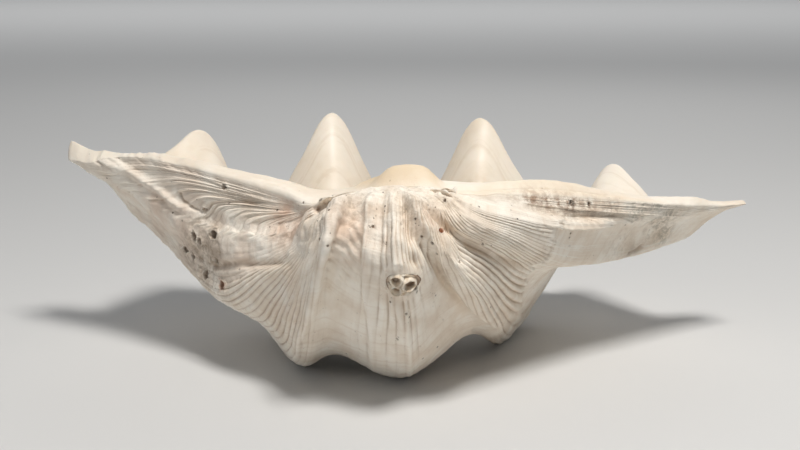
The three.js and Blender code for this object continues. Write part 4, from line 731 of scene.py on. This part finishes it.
    # ---- bump: chalk grain, fine growth lines, pits; nearly none inside
    lines = s.noise(1.0, 3, .6, s.comb(s.mul(A_['m_g'], 9.), s.mul(n_mid, 1.5), 0.))
    h = s.add(s.mul(n_fine, .9), s.mul(n_grain, .45)); h = s.add(h, s.mul(lines, .55)); h = s.math('SUBTRACT', h, s.mul(s.add(sp, sp2), 1.6)); h = s.add(h, s.mul(s.mul(s.noise(520, 4, .7), A_['m_erode']), 1.6))
    h = s.mul(h, s.add(.06, s.mul(A_['m_out'], .94)))
    s.put(s.bsdf.inputs['Normal'], s.bump(h, .75, .0007))
    return s.mat

def tube_material():
    s = Net('worm_tube'); h = s.attr('m_h'); nf = s.noise(900, 4, .6); nm = s.noise(260, 3, .5)
    c = s.mix(s.ramp(nm, .35, .65), lin(244, 236, 222), lin(222, 204, 180)); c = s.mix(s.mul(s.ramp(nf, .5, .72), .4), c, lin(190, 166, 140))
    # painted shade: browner the lower the crust lies between the tubes, near black down inside the open tubes
    c = s.mix(s.ramp(h, -3.0, -.6, .85, 0), c, lin(128, 100, 76)); c = s.mix(s.ramp(h, -5.0, -3.2, .9, 0), c, lin(58, 44, 34))
    s.put(s.bsdf.inputs['Base Color'], c); s.put(s.bsdf.inputs['Roughness'], s.ramp(nf, .3, .7, .62, .85)); s.put(s.bsdf.inputs['Normal'], s.bump(s.add(nf, nm), .7, .0004))
    return s.mat
valve.data.materials.append(shell_material()); tubes.data.materials.append(tube_material())

for ob, node, slot in ((valve, 'shell_valve', 'aged_shell'), (tubes, 'worm_tube_cluster', 'worm_tube')):
    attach(ob, 'root'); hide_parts(node)

# ------------------------------------------------------------------ stage, light, camera
def flat_material(name, col, rough):
    mt = bpy.data.materials.new(name); mt.use_nodes = True; b = mt.node_tree.nodes['Principled BSDF']; b.inputs['Base Color'].default_value = col; b.inputs['Roughness'].default_value = rough; return mt
fm = bpy.data.meshes.new('floor'); fm.from_pydata([(-8, -8, 0), (8, -8, 0), (8, 8, 0), (-8, 8, 0)], [], [(0, 1, 2, 3)]); floor = bpy.data.objects.new('floor', fm)
bpy.context.scene.collection.objects.link(floor); fm.materials.append(flat_material('pale_floor', (.63, .63, .625, 1), .9))

def area(name, loc, size, power, col=(1, 1, 1), target=(0, 0, .06)):
    L = bpy.data.lights.new(name, 'AREA'); L.shape = 'RECTANGLE'; L.size, L.size_y = size; L.energy = power; L.color = col
    o = bpy.data.objects.new(name, L); bpy.context.scene.collection.objects.link(o); o.location = loc
    o.rotation_euler = (Vector(target) - Vector(loc)).to_track_quat('-Z', 'Y').to_euler(); return o
area('key', (.33, -.68, 1.64), (.42, .42), 29, (1, .97, .93))
area('fill', (-1.5, -1.1, .7), (1.4, 1.2), 2.8, (.93, .965, 1))
area('back', (.2, 1.6, 1.1), (1.6, .9), 4, (1, .99, .97))
area('floor_light', (0, 4.6, 2.0), (7, 3), 70, (1, 1, 1), (0, 4.6, 0))
W = bpy.data.worlds.new('studio'); bpy.context.scene.world = W; W.use_nodes = True
bg = W.node_tree.nodes['Background']; bg.inputs[0].default_value = (.83, .86, .9, 1); bg.inputs[1].default_value = .205

cam = bpy.data.cameras.new('camera'); cam.lens = LENS; cam.sensor_width = 36; cam.clip_start = .02; cam.clip_end = 50
co_ = bpy.data.objects.new('camera', cam); bpy.context.scene.collection.objects.link(co_)
co_.location = [(c_ + s_) / 1000 for c_, s_ in zip(CAMERA, SHIFT)]; co_.rotation_euler = (math.radians(90 - PITCH), 0, 0)
bpy.context.scene.camera = co_
bpy.context.scene.view_settings.view_transform = 'Standard'
